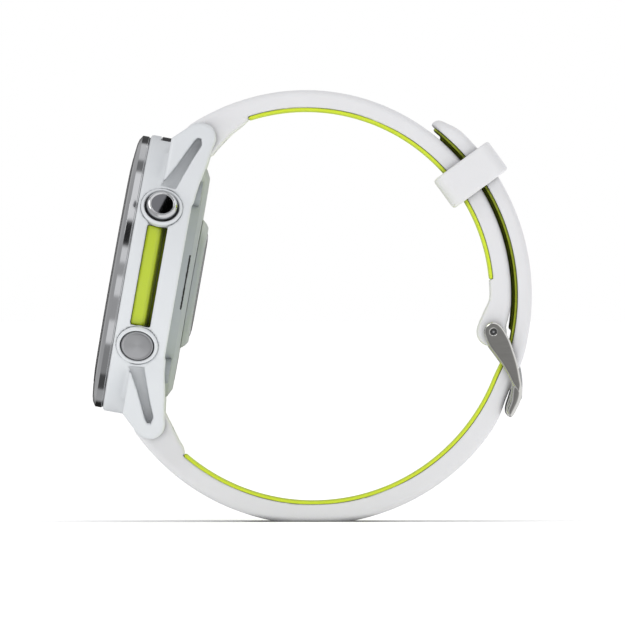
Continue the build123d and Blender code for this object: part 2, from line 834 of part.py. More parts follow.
with BuildPart() as buckle_frame:
    for start in (arm_inside, -arm_outside):
        with BuildSketch(Plane.XZ.offset(start)):
            arm_outline()
        extrude(amount=arm_outside - arm_inside)
    with BuildSketch(Plane.XZ):
        with BuildLine():
            Spline(
                (32.25, 18.2), (32.75, 17.55), (34.3, 19.85), (34.9, 22.0), (34.5, 22.9), (33.75, 22.75),
                (32.75, 20.7), periodic=True,
            )
        make_face()
    extrude(amount=arm_inside, both=True)
    with BuildSketch(Plane.XZ):
        with Locations(buckle_pin):
            Circle(buckle_pin_radius + running_gap)
    extrude(amount=arm_outside, both=True, mode=Mode.SUBTRACT)
    # the seat that the tang's tip lies in
    with BuildSketch(Plane.XZ):
        with Locations((35.475, 21.6)):
            Rectangle(3.05, 4.8)
    extrude(amount=tang_half_width + 0.3, both=True, mode=Mode.SUBTRACT)
save(buckle_frame, "buckle_frame")

with BuildPart() as buckle_tang:
    with BuildSketch(Plane.XZ):
        with BuildLine():
            start = polar(buckle_pin, eye_radius, 40)
            stop = polar(buckle_pin, eye_radius, -100)
            outer = Spline(
                start, (33.2, 29.5), (34.6, 26.4), (35.1, 23.6), (35.05, 20.7),
                tangents=(along(-50), (0, -1)),
            )
            inner = Spline(
                (34.1, 20.7), (34.1, 23.4), (33.6, 26.0), (32.2, 28.5), stop,
                tangents=((0, 1), along(100)),
            )
            RadiusArc(outer @ 1, inner @ 0, 0.5)
            CenterArc(buckle_pin, eye_radius, 40, 220)
        make_face()
    extrude(amount=tang_half_width, both=True)
    with BuildSketch(Plane.XZ):
        with Locations(buckle_pin):
            Circle(eye_radius)
    extrude(amount=1.55, both=True)
    with BuildSketch(Plane.XZ):
        with Locations(buckle_pin):
            Circle(buckle_pin_radius + running_gap)
    extrude(amount=2 * eye_radius, both=True, mode=Mode.SUBTRACT)
save(buckle_tang, "buckle_tang")
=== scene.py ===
import json
from math import acos, atan2, cos, degrees, hypot, pi, radians, sin, sqrt

import bmesh
import bpy
import numpy as np
from bpy.props import FloatProperty, IntProperty, PointerProperty, StringProperty
from bpy.types import Operator, Panel, PropertyGroup
from mathutils import Matrix, Vector


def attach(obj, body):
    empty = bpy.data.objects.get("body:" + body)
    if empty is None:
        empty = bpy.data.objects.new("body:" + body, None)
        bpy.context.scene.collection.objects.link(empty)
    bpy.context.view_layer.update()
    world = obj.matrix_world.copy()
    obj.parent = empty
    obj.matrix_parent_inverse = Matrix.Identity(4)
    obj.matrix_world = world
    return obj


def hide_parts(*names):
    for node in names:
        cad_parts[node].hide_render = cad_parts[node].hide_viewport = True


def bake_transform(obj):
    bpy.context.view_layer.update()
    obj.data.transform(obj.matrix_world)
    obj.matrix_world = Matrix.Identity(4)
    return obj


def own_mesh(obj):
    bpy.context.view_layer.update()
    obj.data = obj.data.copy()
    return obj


bl_info = {
    "name": "Sports Watch Builder",
    "version": (1, 0, 0),
    "blender": (4, 5, 0),
    "location": "3D View > Sidebar > Watch",
    "description": "Builds a sports watch with a two-tone silicone strap around its packed frame",
    "category": "Object",
}

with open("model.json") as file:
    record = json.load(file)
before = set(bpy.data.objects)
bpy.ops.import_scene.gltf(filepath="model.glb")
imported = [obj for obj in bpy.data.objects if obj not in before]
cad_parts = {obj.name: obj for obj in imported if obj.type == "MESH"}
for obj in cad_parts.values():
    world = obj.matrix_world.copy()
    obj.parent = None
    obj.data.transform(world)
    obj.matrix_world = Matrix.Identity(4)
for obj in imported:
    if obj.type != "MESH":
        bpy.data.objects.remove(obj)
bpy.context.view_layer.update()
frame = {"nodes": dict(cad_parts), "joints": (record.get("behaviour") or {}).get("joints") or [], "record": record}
MM = 0.001

# ------------------------------------------------------------------ places, all from the frame
MOUNTS = {m["name"]: m for m in frame["record"]["mounts"]}
JOINTS = {j["name"]: j for j in frame["joints"]}
BACK = Vector(MOUNTS["wrist_face"]["pos_m"])
OUTWARD = -Vector(MOUNTS["wrist_face"]["axis"]).normalized()
THREE = Vector((0, -1, 0))
TWELVE = OUTWARD.cross(THREE)
UPPER_PIN = Vector(JOINTS["strap_swing"]["pos_m"])
STRAP_CENTRE = Vector(JOINTS["keeper_slide"]["pos_m"])
BUCKLE_PIN = Vector(JOINTS["buckle_swing"]["pos_m"])
PIN_REACH = (UPPER_PIN - BACK).dot(TWELVE)
PIN_HEIGHT = (UPPER_PIN - BACK).dot(OUTWARD)
LOWER_PIN = UPPER_PIN - 2 * PIN_REACH * TWELVE
LOWER_CENTRE = Vector((0.07, 0, 35.85)) * MM


def axes_at(origin, x, y, z):
    """The matrix that puts local millimetres on three directions of the row frame."""
    turn = Matrix((x, y, z)).transposed() * MM
    return Matrix.Translation(origin) @ turn.to_4x4()


CASE = axes_at(BACK, THREE, TWELVE, OUTWARD)


def button_axes(angle, height=8.35):
    """Local axes of a button: z out along its stem, from the case's own axis."""
    out = cos(radians(angle)) * THREE + sin(radians(angle)) * TWELVE
    return axes_at(BACK + OUTWARD * height * MM, OUTWARD, out.cross(OUTWARD), out)


# ------------------------------------------------------------------ the sizes and colours a user would change
def length(name, description, millimetres):
    """A length that a user may change."""
    return FloatProperty(name=name, description=description, default=millimetres * MM, unit="LENGTH")


def colour(name, description, default):
    """An sRGB hex colour that a user may change."""
    return StringProperty(name=name, description=description, default=default)


class WatchSizes(PropertyGroup):
    """Sizes and colours of the watch's visible pieces."""

    case_radius: length("Case radius", "Radius of the round case wall", 23.4)
    case_top: length("Case top", "Height of the wall above the sensor", 12.33)
    case_bottom: length("Case bottom", "Height where the back begins", 3.5)
    lug_gap: length("Lug gap", "Room between the lugs", 22.5)
    edge_softness: length("Edge softness", "Round on the case's edges", 0.45)
    strap_edge: length("Strap edge", "Round on the strap's outer edges", 1.15)
    slot_pitch: length("Slot pitch", "Distance between strap slots", 5.6)
    slot_length: length("Slot length", "Length of a strap slot", 3.6)
    slot_width: length("Slot width", "Width of a strap slot", 2.2)
    minute_marks: IntProperty(name="Minute marks", description="Marks round the display", default=60, min=12)
    case_colour: colour("Case colour", "sRGB hex of the case and the button guards", "DDE0E3")
    band_colour: colour("Band colour", "sRGB hex of the strap and its keeper", "E4E4E6")
    accent_colour: colour("Accent colour", "sRGB hex of the strip in the case side", "BACE1A")


def sizes():
    """The sizes and colours that the user set."""
    return bpy.context.scene.watch_sizes


# ------------------------------------------------------------------ materials
def linear(text, alpha=1.0):
    """An sRGB hex colour as the linear values that shaders use."""
    channels = [int(text[k:k + 2], 16) / 255 for k in (0, 2, 4)]
    return [c / 12.92 if c <= 0.04045 else ((c + 0.055) / 1.055) ** 2.4 for c in channels] + [alpha]


def add_node(tree, kind, inputs=(), **settings):
    """One node with its settings; inputs are (socket, value or another node's output)."""
    node = tree.nodes.new(kind)
    for key, value in settings.items():
        setattr(node, key, value)
    for socket, value in inputs:
        if isinstance(value, bpy.types.NodeSocket):
            tree.links.new(value, node.inputs[socket])
        else:
            node.inputs[socket].default_value = value
    return node


def new_material(name, **shader):
    """A material with a Principled shader whose uniform values stand on its own sockets."""
    material = bpy.data.materials.new(name)
    material.use_nodes = True
    tree = material.node_tree
    principled = tree.nodes["Principled BSDF"]
    for socket, value in shader.items():
        principled.inputs[socket.replace("_", " ")].default_value = value
    return material, tree, principled


def noise(tree, coordinates, size, detail):
    """Soft noise with spots of about size metres."""
    given = [("Vector", coordinates), ("Scale", 1 / size), ("Detail", detail)]
    return add_node(tree, "ShaderNodeTexNoise", given).outputs["Fac"]


def mixed(tree, share, first, second, **settings):
    """Two colours mixed by share."""
    given = [("Factor", share), (6, first), (7, second)]
    return add_node(tree, "ShaderNodeMix", given, data_type="RGBA", **settings).outputs[2]


def mottled(tree, principled, colour, spread, coordinates, size):
    """The colour drifts a little from place to place, over about size metres."""
    light = [min(1, c * (1 + spread)) for c in linear(colour)[:3]] + [1]
    dark = [c * (1 - spread) for c in linear(colour)[:3]] + [1]
    mix = mixed(tree, noise(tree, coordinates, size, 3.0), dark, light)
    tree.links.new(mix, principled.inputs["Base Color"])


def roughened(tree, principled, low, high, coordinates, size):
    """The gloss drifts between two roughnesses over about size metres."""
    given = [("Value", noise(tree, coordinates, size, 4.0)), ("To Min", low), ("To Max", high)]
    span = add_node(tree, "ShaderNodeMapRange", given)
    tree.links.new(span.outputs["Result"], principled.inputs["Roughness"])


def grained(tree, principled, height, coordinates, size, detail=2.0):
    """A fine relief of about size metres between grains."""
    given = [("Height", noise(tree, coordinates, size, detail)), ("Distance", height), ("Strength", 1.0)]
    bump = add_node(tree, "ShaderNodeBump", given)
    tree.links.new(bump.outputs["Normal"], principled.inputs["Normal"])


def painted_crevice_shade(tree, principled, darkest, reach):
    """The colour is darkened in slots and seams narrower than about reach metres: painted shade, from an ambient
    occlusion node.
    """
    colour = principled.inputs["Base Color"].links[0].from_socket
    open_share = add_node(tree, "ShaderNodeAmbientOcclusion", [("Distance", reach)], samples=6).outputs["AO"]
    given = [("Value", open_share), ("From Max", 0.8), ("To Min", darkest)]
    shade = add_node(tree, "ShaderNodeMapRange", given).outputs["Result"]
    grey = add_node(tree, "ShaderNodeCombineColor", [(k, shade) for k in range(3)]).outputs["Color"]
    mix = mixed(tree, 1.0, colour, grey, blend_type="MULTIPLY")
    tree.links.new(mix, principled.inputs["Base Color"])


def moulded(name, colour, grain, relief, low, high, spread=0.03, crevice_shade=None, **shader):
    """A moulded plastic or rubber: mottled colour, drifting gloss and a fine grain."""
    material, tree, principled = new_material(name, **shader)
    place = add_node(tree, "ShaderNodeTexCoord").outputs["Object"]
    mottled(tree, principled, colour, spread, place, 4 * MM)
    # painted shade in slots and seams, when crevice_shade is given
    if crevice_shade:
        painted_crevice_shade(tree, principled, *crevice_shade)
    roughened(tree, principled, low, high, place, 1.2 * MM)
    grained(tree, principled, relief, place, grain)
    return material


def metal(
    name, colour, low, high, stretch, grain, relief, spread=0.05, source="Object", fan=0.0, crevice_shade=None,
):
    """A metal whose fine lines are noise stretched along the direction it was brushed or turned in."""
    material, tree, principled = new_material(name, Metallic=1.0, Anisotropic=fan)
    if fan:
        round_axis = add_node(tree, "ShaderNodeTangent", direction_type="UV_MAP", uv_map="turning")
        tree.links.new(round_axis.outputs["Tangent"], principled.inputs["Tangent"])
    place = add_node(tree, "ShaderNodeTexCoord").outputs[source]
    lines = add_node(tree, "ShaderNodeMapping", [("Vector", place), ("Scale", stretch)]).outputs["Vector"]
    mottled(tree, principled, colour, spread, lines, 4 * grain)
    # painted shade in slots and seams, when crevice_shade is given
    if crevice_shade:
        painted_crevice_shade(tree, principled, *crevice_shade)
    roughened(tree, principled, low, high, lines, 3 * grain)
    grained(tree, principled, relief, lines, grain, 3.0)
    return material


MATERIALS = {}


def material(name):
    """A finish by name, made the first time it is asked for."""
    if name not in MATERIALS:
        MATERIALS[name] = FINISHES[name]()
    return MATERIALS[name]


def case_polymer():
    # fibre-reinforced polymer from a spark-eroded mould: satin, with a grain of about 0.1 mm, and painted shade in
    # its slots and seams
    return moulded(
        "satin_white_polymer", sizes().case_colour, 0.12 * MM, 0.004 * MM, 0.36, 0.46, 0.015, (0.46, 3 * MM),
    )


def back_polymer():
    # the same polymer in grey, a little rougher where it meets skin, with painted shade in its seams
    return moulded("satin_grey_polymer", "A4AAAD", 0.12 * MM, 0.004 * MM, 0.38, 0.5, 0.02, (0.6, 2 * MM))


def black_polymer():
    # moulded black nylon inside the case
    return moulded("black_nylon", "17181A", 0.15 * MM, 0.006 * MM, 0.45, 0.6)


def band_silicone():
    # liquid silicone rubber from a blasted mould: soft matte, light passes a little way in; painted shade darkens
    # its slots and the gaps between straps
    return moulded(
        "pale_silicone", sizes().band_colour, 0.1 * MM, 0.003 * MM, 0.5, 0.62, 0.012, (0.25, 1.6 * MM),
        Subsurface_Weight=0.12, Subsurface_Radius=(0.0012, 0.0011, 0.001), Subsurface_Scale=1.0,
        Sheen_Weight=0.05,
    )


def liner_silicone():
    # the lime silicone moulded under the band, the same matte skin, with painted shade where it lies in gaps
    return moulded(
        "lime_silicone", "D3E62C", 0.1 * MM, 0.003 * MM, 0.45, 0.58, 0.02, (0.05, 3 * MM),
        Subsurface_Weight=0.15, Subsurface_Radius=(0.0012, 0.0012, 0.0003), Subsurface_Scale=1.0,
    )


def accent_lime():
    # clear-coated lime inlay, with painted shade where it lies deep in its recess
    return moulded(
        "lime_inlay", sizes().accent_colour, 0.4 * MM, 0.002 * MM, 0.16, 0.22, 0.02, (0.2, 2 * MM),
        Coat_Weight=0.6,
    )


def link_polymer():
    # glass-filled polymer of the strap ends
    return moulded("graphite_polymer", "4A4D50", 0.14 * MM, 0.005 * MM, 0.4, 0.52)


def seal_rubber():
    # black silicone seals
    return moulded("black_silicone", "101011", 0.1 * MM, 0.003 * MM, 0.5, 0.65)


def bezel_metal():
    # titanium turned and polished: fine lines run round the ring, in its own turning map
    return metal("polished_titanium", "C2C3C5", 0.07, 0.13, (1.0, 60.0, 1.0), 0.05, 0.0004 * MM, 0.04, "UV")


def button_steel():
    # stainless steel caps, polished after turning
    return metal("polished_steel", "D2D3D5", 0.02, 0.04, (1.0, 60.0, 1.0), 0.05, 0.0001 * MM, 0.03, "UV")


def spun_steel():
    # stainless steel with turning rings left on its face, which spread the light one way
    return metal("spun_steel", "B4B5B7", 0.26, 0.34, (0.05, 120.0, 1.0), 0.05, 0.0006 * MM, 0.06, "UV", 0.85)


def buckle_steel():
    # stainless steel, brushed flat on the outer sides of its arms and polished on every edge between; the edges
    # are also painted lighter, a painted highlight, and painted shade darkens its crevices
    made = metal(
        "brushed_steel", "8A8986", 0.34, 0.46, (0.12, 1.0, 1.0), 0.09 * MM, 0.0012 * MM, 0.1,
        crevice_shade=(0.12, 1.6 * MM),
    )
    tree = made.node_tree
    principled = tree.nodes["Principled BSDF"]
    facing = add_node(tree, "ShaderNodeTexCoord").outputs["Normal"]
    side = add_node(tree, "ShaderNodeSeparateXYZ", [("Vector", facing)]).outputs["Y"]
    level = add_node(tree, "ShaderNodeMath", [(0, side)], operation="ABSOLUTE").outputs["Value"]
    steps = [("Value", level), ("From Min", 0.9), ("From Max", 0.97)]
    flat = add_node(tree, "ShaderNodeMapRange", steps).outputs["Result"]
    colour, gloss = principled.inputs["Base Color"], principled.inputs["Roughness"]
    # by the object-space normal the rounded edges get a lighter colour, a painted highlight, and a low roughness
    # for their polish
    tree.links.new(mixed(tree, flat, linear("D9D8D5"), colour.links[0].from_socket), colour)
    given = [("Factor", flat), (2, 0.14), (3, gloss.links[0].from_socket)]
    tree.links.new(add_node(tree, "ShaderNodeMix", given).outputs[0], gloss)
    return made


def pin_steel():
    # ground stainless steel pins and screws, with painted shade in their grooves
    return metal(
        "ground_steel", "A8A9AA", 0.2, 0.3, (1, 8, 1), 0.2 * MM, 0.0003 * MM, crevice_shade=(0.05, 1.5 * MM),
    )


def spring_steel():
    # bright spring steel
    return metal("spring_steel", "8E8F8C", 0.22, 0.32, (1.0, 1.0, 1.0), 0.3 * MM, 0.001 * MM)


def tinned_steel():
    # tin-plated shield cans and motor case
    return metal("tinned_steel", "B9BBBC", 0.28, 0.4, (1.0, 1.0, 1.0), 0.5 * MM, 0.002 * MM)


def gold_plate():
    # gold-plated contacts
    return metal("gold_plate", "D9A63C", 0.15, 0.25, (1.0, 1.0, 1.0), 0.3 * MM, 0.0008 * MM)


def battery_foil():
    # laminated aluminium pouch
    return metal("pouch_foil", "C4C6C9", 0.3, 0.45, (1.0, 1.0, 1.0), 0.8 * MM, 0.01 * MM)


def circuit_board():
    # solder resist over glass fibre
    return moulded("solder_resist", "0F3F2C", 0.4 * MM, 0.003 * MM, 0.25, 0.35, 0.15, Coat_Weight=0.3)


def flex_film():
    # amber polyimide film
    return moulded("polyimide_film", "8C4F12", 0.5 * MM, 0.002 * MM, 0.2, 0.3, 0.08)


def foam():
    # black adhesive foam
    return moulded("adhesive_foam", "1B1B1B", 0.2 * MM, 0.02 * MM, 0.8, 0.95)


def led_package():
    # phosphor-filled packages
    return moulded("phosphor_package", "E9E4B8", 0.2 * MM, 0.003 * MM, 0.25, 0.4)


def sensor_glass():
    # dark filtered polycarbonate over the sensors, polished
    return moulded(
        "dark_sensor_lens", "0B0B0D", 0.8 * MM, 0.0006 * MM, 0.04, 0.09, 0.1, Coat_Weight=0.5,
        Coat_Roughness=0.02,
    )


def display_panel():
    # unlit display under its cover: deep black and even
    return moulded("unlit_display", "050507", 1.0 * MM, 0.0003 * MM, 0.12, 0.18, 0.1)


def lens_glass():
    # sapphire: clear and hard, with a bright edge
    made, tree, principled = new_material("clear_sapphire", Transmission_Weight=1.0, IOR=1.77)
    place = add_node(tree, "ShaderNodeTexCoord").outputs["Object"]
    principled.inputs["Base Color"].default_value = linear("F4F6F7")
    roughened(tree, principled, 0.0, 0.03, place, 2 * MM)
    return made


def flashlight_lens():
    # dark smoked polycarbonate
    return moulded("smoked_lens", "25272A", 0.6 * MM, 0.0006 * MM, 0.05, 0.12, 0.1, Coat_Weight=0.4)


def lit(name, colour, strength):
    """A lit part of the display, even apart from a faint drift in brightness."""
    made, tree, principled = new_material(name, Roughness=0.3)
    place = add_node(tree, "ShaderNodeTexCoord").outputs["Object"]
    mottled(tree, principled, colour, 0.03, place, 1 * MM)
    principled.inputs["Emission Color"].default_value = linear(colour)
    principled.inputs["Emission Strength"].default_value = strength
    return made


FINISHES = {
    "case_polymer": case_polymer, "back_polymer": back_polymer, "black_polymer": black_polymer,
    "band_silicone": band_silicone, "liner_silicone": liner_silicone, "accent_lime": accent_lime,
    "link_polymer": link_polymer, "seal_rubber": seal_rubber, "bezel_metal": bezel_metal,
    "steel_button": button_steel, "spun_steel": spun_steel, "buckle_steel": buckle_steel,
    "pin_steel": pin_steel, "spring_steel": spring_steel,
    "shield_steel": tinned_steel, "gold_contact": gold_plate, "battery_foil": battery_foil,
    "circuit_board": circuit_board, "flex_film": flex_film, "foam": foam, "led_package": led_package,
    "sensor_glass": sensor_glass, "display": display_panel, "lens_glass": lens_glass,
    "flashlight_lens": flashlight_lens,
    "white_pixels": lambda: lit("white_pixels", "E8ECEF", 0.9),
    "lime_pixels": lambda: lit("lime_pixels", "CFE322", 0.9),
    "grey_pixels": lambda: lit("grey_pixels", "5A6066", 0.5),
}


# ------------------------------------------------------------------ mesh helpers
def new_object(name, points, faces, smooth=True):
    """A mesh object at the origin, with its place in its mesh."""
    mesh = bpy.data.meshes.new(name)
    mesh.from_pydata([tuple(p) for p in points], [], [tuple(f) for f in faces])
    mesh.validate()
    for polygon in mesh.polygons:
        polygon.use_smooth = smooth
    made = bpy.data.objects.new(name, mesh)
    bpy.context.scene.collection.objects.link(made)
    return made


def fit_piece(made, body, slot, finish, *nodes):
    """Give a finished piece its material and its body, and hide the CAD nodes it stands for; its slot is not used.
    """
    if not made.data.materials:
        made.data.materials.append(material(finish))
    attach(made, body)
    if nodes:
        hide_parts(*nodes)
    return made


def softened(points, radius, steps=4):
    """A closed outline with each corner rounded to radius, or less where its sides are short."""
    result = []
    count = len(points)
    for k, corner in enumerate(points):
        corner = Vector(corner)
        before = Vector(points[k - 1]) - corner
        after = Vector(points[(k + 1) % count]) - corner
        if before.length < 1e-9 or after.length < 1e-9:
            result.append(corner)
            continue
        half = before.angle(after) / 2
        reach = min(radius / max(1e-6, abs(np.tan(half))), 0.45 * before.length, 0.45 * after.length)
        if half > radians(86) or corner[0] < 1e-9:
            result.append(corner)
            continue
        first = corner + before.normalized() * reach
        last = corner + after.normalized() * reach
        for step in range(steps + 1):
            t = step / steps
            result.append(first * (1 - t) ** 2 + corner * 2 * t * (1 - t) + last * t ** 2)
    return result


def lathed(name, outline, place, turns=160):
    """A closed outline of (radius, height) turned about local z; its map runs round and along the outline."""
    made = bmesh.new()
    rows = []
    for radius, height in outline:
        if radius < 1e-6:
            rows.append([made.verts.new(place @ Vector((0, 0, height)))] * turns)
            continue
        angles = [2 * pi * k / turns for k in range(turns)]
        rows.append([made.verts.new(place @ Vector((radius * cos(a), radius * sin(a), height))) for a in angles])
    travel = [0.0]
    for before, after in zip(outline, outline[1:] + outline[:1]):
        travel.append(travel[-1] + (Vector(after) - Vector(before)).length * MM)
    coordinates = made.loops.layers.uv.new("turning")
    for i in range(len(rows)):
        low, high = rows[i], rows[(i + 1) % len(rows)]
        if low[0] is low[1] and high[0] is high[1]:
            continue
        for k in range(turns):
            n = (k + 1) % turns
            corners = [(low[k], k, i), (low[n], k + 1, i), (high[n], k + 1, i + 1), (high[k], k, i + 1)]
            unique = []
            for corner in corners:
                if not any(corner[0] is other[0] for other in unique):
                    unique.append(corner)
            face = made.faces.new([corner[0] for corner in unique])
            face.smooth = True
            for loop, corner in zip(face.loops, unique):
                loop[coordinates].uv = (corner[1] / turns, travel[corner[2]] / MM / 10)
    bmesh.ops.recalc_face_normals(made, faces=made.faces)
    mesh = bpy.data.meshes.new(name)
    made.to_mesh(mesh)
    made.free()
    result = bpy.data.objects.new(name, mesh)
    bpy.context.scene.collection.objects.link(result)
    return result


def both(a, b, radius):
    """Where two fields overlap, with the edge between them rounded."""
    edge = np.hypot(np.maximum(a + radius, 0), np.maximum(b + radius, 0))
    return np.minimum(np.maximum(a, b), -radius) + edge


def either(a, b, radius):
    """Two fields together, with a fillet where they meet."""
    corner = np.hypot(np.maximum(radius - a, 0), np.maximum(radius - b, 0))
    return np.maximum(np.minimum(a, b), radius) - corner


def bevelled(a, b, width):
    """Where two fields overlap, with the edge between them cut off flat."""
    return np.maximum(np.maximum(a, b), (a + b + width) * sqrt(0.5))


def without(a, b, radius=0.15):
    """The first field with the second taken away."""
    return both(a, -b, radius)


def slope_of(field, points, reach):
    """How fast a field changes along each axis."""
    columns = []
    for axis in range(3):
        shift = np.zeros(3)
        shift[axis] = reach
        columns.append((field(points + shift) - field(points - shift)) / (2 * reach))
    return np.stack(columns, -1)


def wrapped(field, low, high, cell):
    """Points and quads of the closed surface where a field of millimetres passes zero, from below inside."""
    low, high, cell = (np.array(v, float) * np.ones(3) for v in (low, high, cell))
    counts = np.ceil((high - low) / cell).astype(int) + 1
    axes = [low[k] + cell[k] * np.arange(counts[k]) for k in range(3)]
    value = field(np.stack(np.meshgrid(*axes, indexing="ij"), -1).reshape(-1, 3)).reshape(counts)
    inside = value < 0
    corners = np.array([(i, j, k) for i in (0, 1) for j in (0, 1) for k in (0, 1)])
    total = np.zeros(counts - 1, np.int8)
    for corner in corners:
        total += inside[tuple(slice(corner[k], counts[k] - 1 + corner[k]) for k in range(3))]
    active = (total > 0) & (total < 8)
    cells = np.argwhere(active)
    index = np.full(active.shape, -1)
    index[active] = np.arange(len(cells))
    crossings = np.zeros((len(cells), 3))
    found = np.zeros(len(cells))
    for a in corners:
        for axis in np.flatnonzero(a == 0):
            b = a.copy()
            b[axis] = 1
            start = value[tuple((cells + a).T)]
            stop = value[tuple((cells + b).T)]
            cross = (start < 0) != (stop < 0)
            share = start[cross] / (start[cross] - stop[cross])
            crossings[cross] += a + share[:, None] * (b - a)
            found[cross] += 1
    points = low + (cells + crossings / found[:, None]) * cell
    home = points.copy()
    for _ in range(4):
        slope = slope_of(field, points, 0.02)
        step = field(points)[:, None] * slope / np.maximum((slope ** 2).sum(1, keepdims=True), 0.2)
        points = home + np.clip(points - step - home, -0.9 * cell, 0.9 * cell)
    quads = []
    for axis in range(3):
        u, v = (axis + 1) % 3, (axis + 2) % 3
        near = [slice(None)] * 3
        near[axis] = slice(0, -1)
        far = [slice(None)] * 3
        far[axis] = slice(1, None)
        change = inside[tuple(near)] != inside[tuple(far)]
        edges = np.argwhere(change)
        for side in (u, v):
            edges = edges[(edges[:, side] > 0) & (edges[:, side] < counts[side] - 1)]
        ring = []
        for du, dv in ((-1, -1), (0, -1), (0, 0), (-1, 0)):
            shifted = edges.copy()
            shifted[:, u] += du
            shifted[:, v] += dv
            ring.append(index[tuple(shifted.T)])
        ring = np.stack(ring, -1)
        outwards = inside[tuple(edges.T)]
        quads.append(np.where(outwards[:, None], ring, ring[:, ::-1]))
    return points, np.concatenate(quads)


def carved(name, field, low, high, cell, place):
    """An object wrapped round a field; place turns its points into the row frame's metres."""
    points, quads = wrapped(field, low, high, cell)
    mesh = bpy.data.meshes.new(name)
    mesh.from_pydata(place(points).tolist(), [], quads.tolist())
    mesh.polygons.foreach_set("use_smooth", np.ones(len(mesh.polygons), bool))
    made = bpy.data.objects.new(name, mesh)
    bpy.context.scene.collection.objects.link(made)
    return made


def by_matrix(matrix):
    """A placing function from a matrix."""
    turn = np.array(matrix.to_3x3())
    shift = np.array(matrix.translation)
    return lambda points: points @ turn.T + shift


# ------------------------------------------------------------------ side-view drawing helpers, in millimetres
def arc(centre, radius, start, stop):
    """Points along an arc, with its angles in degrees, a point about every four degrees."""
    count = int(abs(stop - start) / 4) + 2
    return [
        (centre[0] + radius * cos(radians(a)), centre[1] + radius * sin(radians(a)))
        for a in np.linspace(start, stop, count)
    ]


def heading(angle):
    """The direction of increasing angle on a circle."""
    return (-sin(radians(angle)), cos(radians(angle)))


def bearing(start, end):
    """Distance and angle from one point to another."""
    return hypot(end[0] - start[0], end[1] - start[1]), degrees(atan2(end[1] - start[1], end[0] - start[0]))


def eased(points, leaving=None, arriving=None, steps=8):
    """A smooth line through the points, which may leave and arrive in given directions."""
    points = [Vector(p) for p in points]
    gaps = [(b - a).length for a, b in zip(points, points[1:])]
    slopes = [(b - a) / g for a, b, g in zip(points, points[1:], gaps)]
    ways = [slopes[0]]
    for k in range(1, len(points) - 1):
        ways.append((slopes[k - 1] * gaps[k] + slopes[k] * gaps[k - 1]) / (gaps[k - 1] + gaps[k]))
    ways.append(slopes[-1])
    if leaving:
        ways[0] = Vector(leaving).normalized()
    if arriving:
        ways[-1] = Vector(arriving).normalized()
    line = [tuple(points[0])]
    for k, gap in enumerate(gaps):
        for step in range(1, steps + 1):
            t = step / steps
            place = (
                points[k] * (2 * t ** 3 - 3 * t ** 2 + 1) + ways[k] * gap * (t ** 3 - 2 * t ** 2 + t)
                + points[k + 1] * (3 * t ** 2 - 2 * t ** 3) + ways[k + 1] * gap * (t ** 3 - t ** 2)
            )
            line.append(tuple(place))
    return line


def flat_field(outline):
    """The signed distance from a closed outline, as a function of two arrays."""
    corners = np.array(outline, float)

    def field(u, v):
        nearest = np.full(u.shape, 1e9)
        inside = np.zeros(u.shape, bool)
        for (au, av), (bu, bv) in zip(corners, np.roll(corners, -1, 0)):
            du, dv = bu - au, bv - av
            share = np.clip(((u - au) * du + (v - av) * dv) / max(du * du + dv * dv, 1e-12), 0, 1)
            nearest = np.minimum(nearest, (u - au - share * du) ** 2 + (v - av - share * dv) ** 2)
            if dv:
                inside ^= ((av > v) != (bv > v)) & (u < du * (v - av) / dv + au)
        return np.where(inside, -1.0, 1.0) * np.sqrt(nearest)

    return field


def slab(value, low, high):
    """Distance from the band between two values."""
    return np.abs(value - (low + high) / 2) - (high - low) / 2


class Beside:
    """A line of the side view that a strap is bent along, with its outward side on the right."""

    def __init__(self, line):
        self.line = np.array(line, float)
        gaps = np.hypot(*np.diff(self.line, axis=0).T)
        self.along = np.concatenate(([0], np.cumsum(gaps)))
        way = np.gradient(self.line, self.along, axis=0)
        self.way = way / np.hypot(*way.T)[:, None]
        self.out = np.stack([self.way[:, 1], -self.way[:, 0]], -1)

    def find(self, points):
        """(along, out) of points of the side view."""
        found = []
        for point in np.array(points, float):
            k = np.argmin(((self.line - point) ** 2).sum(1))
            offset = point - self.line[k]
            found.append((self.along[k] + offset @ self.way[k], offset @ self.out[k]))
        return found

    def bent(self, points):
        """(along, across, out) millimetres as places in the row frame."""
        along, across, out = points.T
        side = [np.interp(along, self.along, self.line[:, k]) for k in (0, 1)]
        lift = [np.interp(along, self.along, self.out[:, k]) for k in (0, 1)]
        return np.stack([side[0] + out * lift[0], -across, side[1] + out * lift[1]], -1) * MM

    def forward(self, along):
        """How far towards the buckle each place along the line is."""
        return np.interp(along, self.along, self.line[:, 0])


# ------------------------------------------------------------------ the case
SLOT = [
    (24.1, 4.55), (23.5, 4.98), (18.9, 7.15), (15.2, 9.2), (15.0, 6.6), (17.5, 5.75), (20.4, 4.7), (23.0, 3.62),
    (24.0, 3.9),
]
BUTTONS = {"start": 30, "back": -30, "light": 150, "up": 180, "down": 210}
BUTTON_HEIGHT = 8.35
LUG_TIP = (24.2, 4.08)
LUG_TIP_RADIUS = 2.58


def lug_outline():
    """Side outline of a lug: a sloping shoulder, a round tip and a hollowed back edge."""
    shoulder = (23.3, 8.8)
    reach, angle = bearing(LUG_TIP, shoulder)
    first = angle - degrees(acos(LUG_TIP_RADIUS / reach))
    tip = arc(LUG_TIP, LUG_TIP_RADIUS, first, -108)
    back = eased([tip[-1], (19.3, 2.33), (13.5, 3.5)], leaving=heading(72), steps=5)
    return [(13.5, 8.8), shoulder] + tip + back[1:]


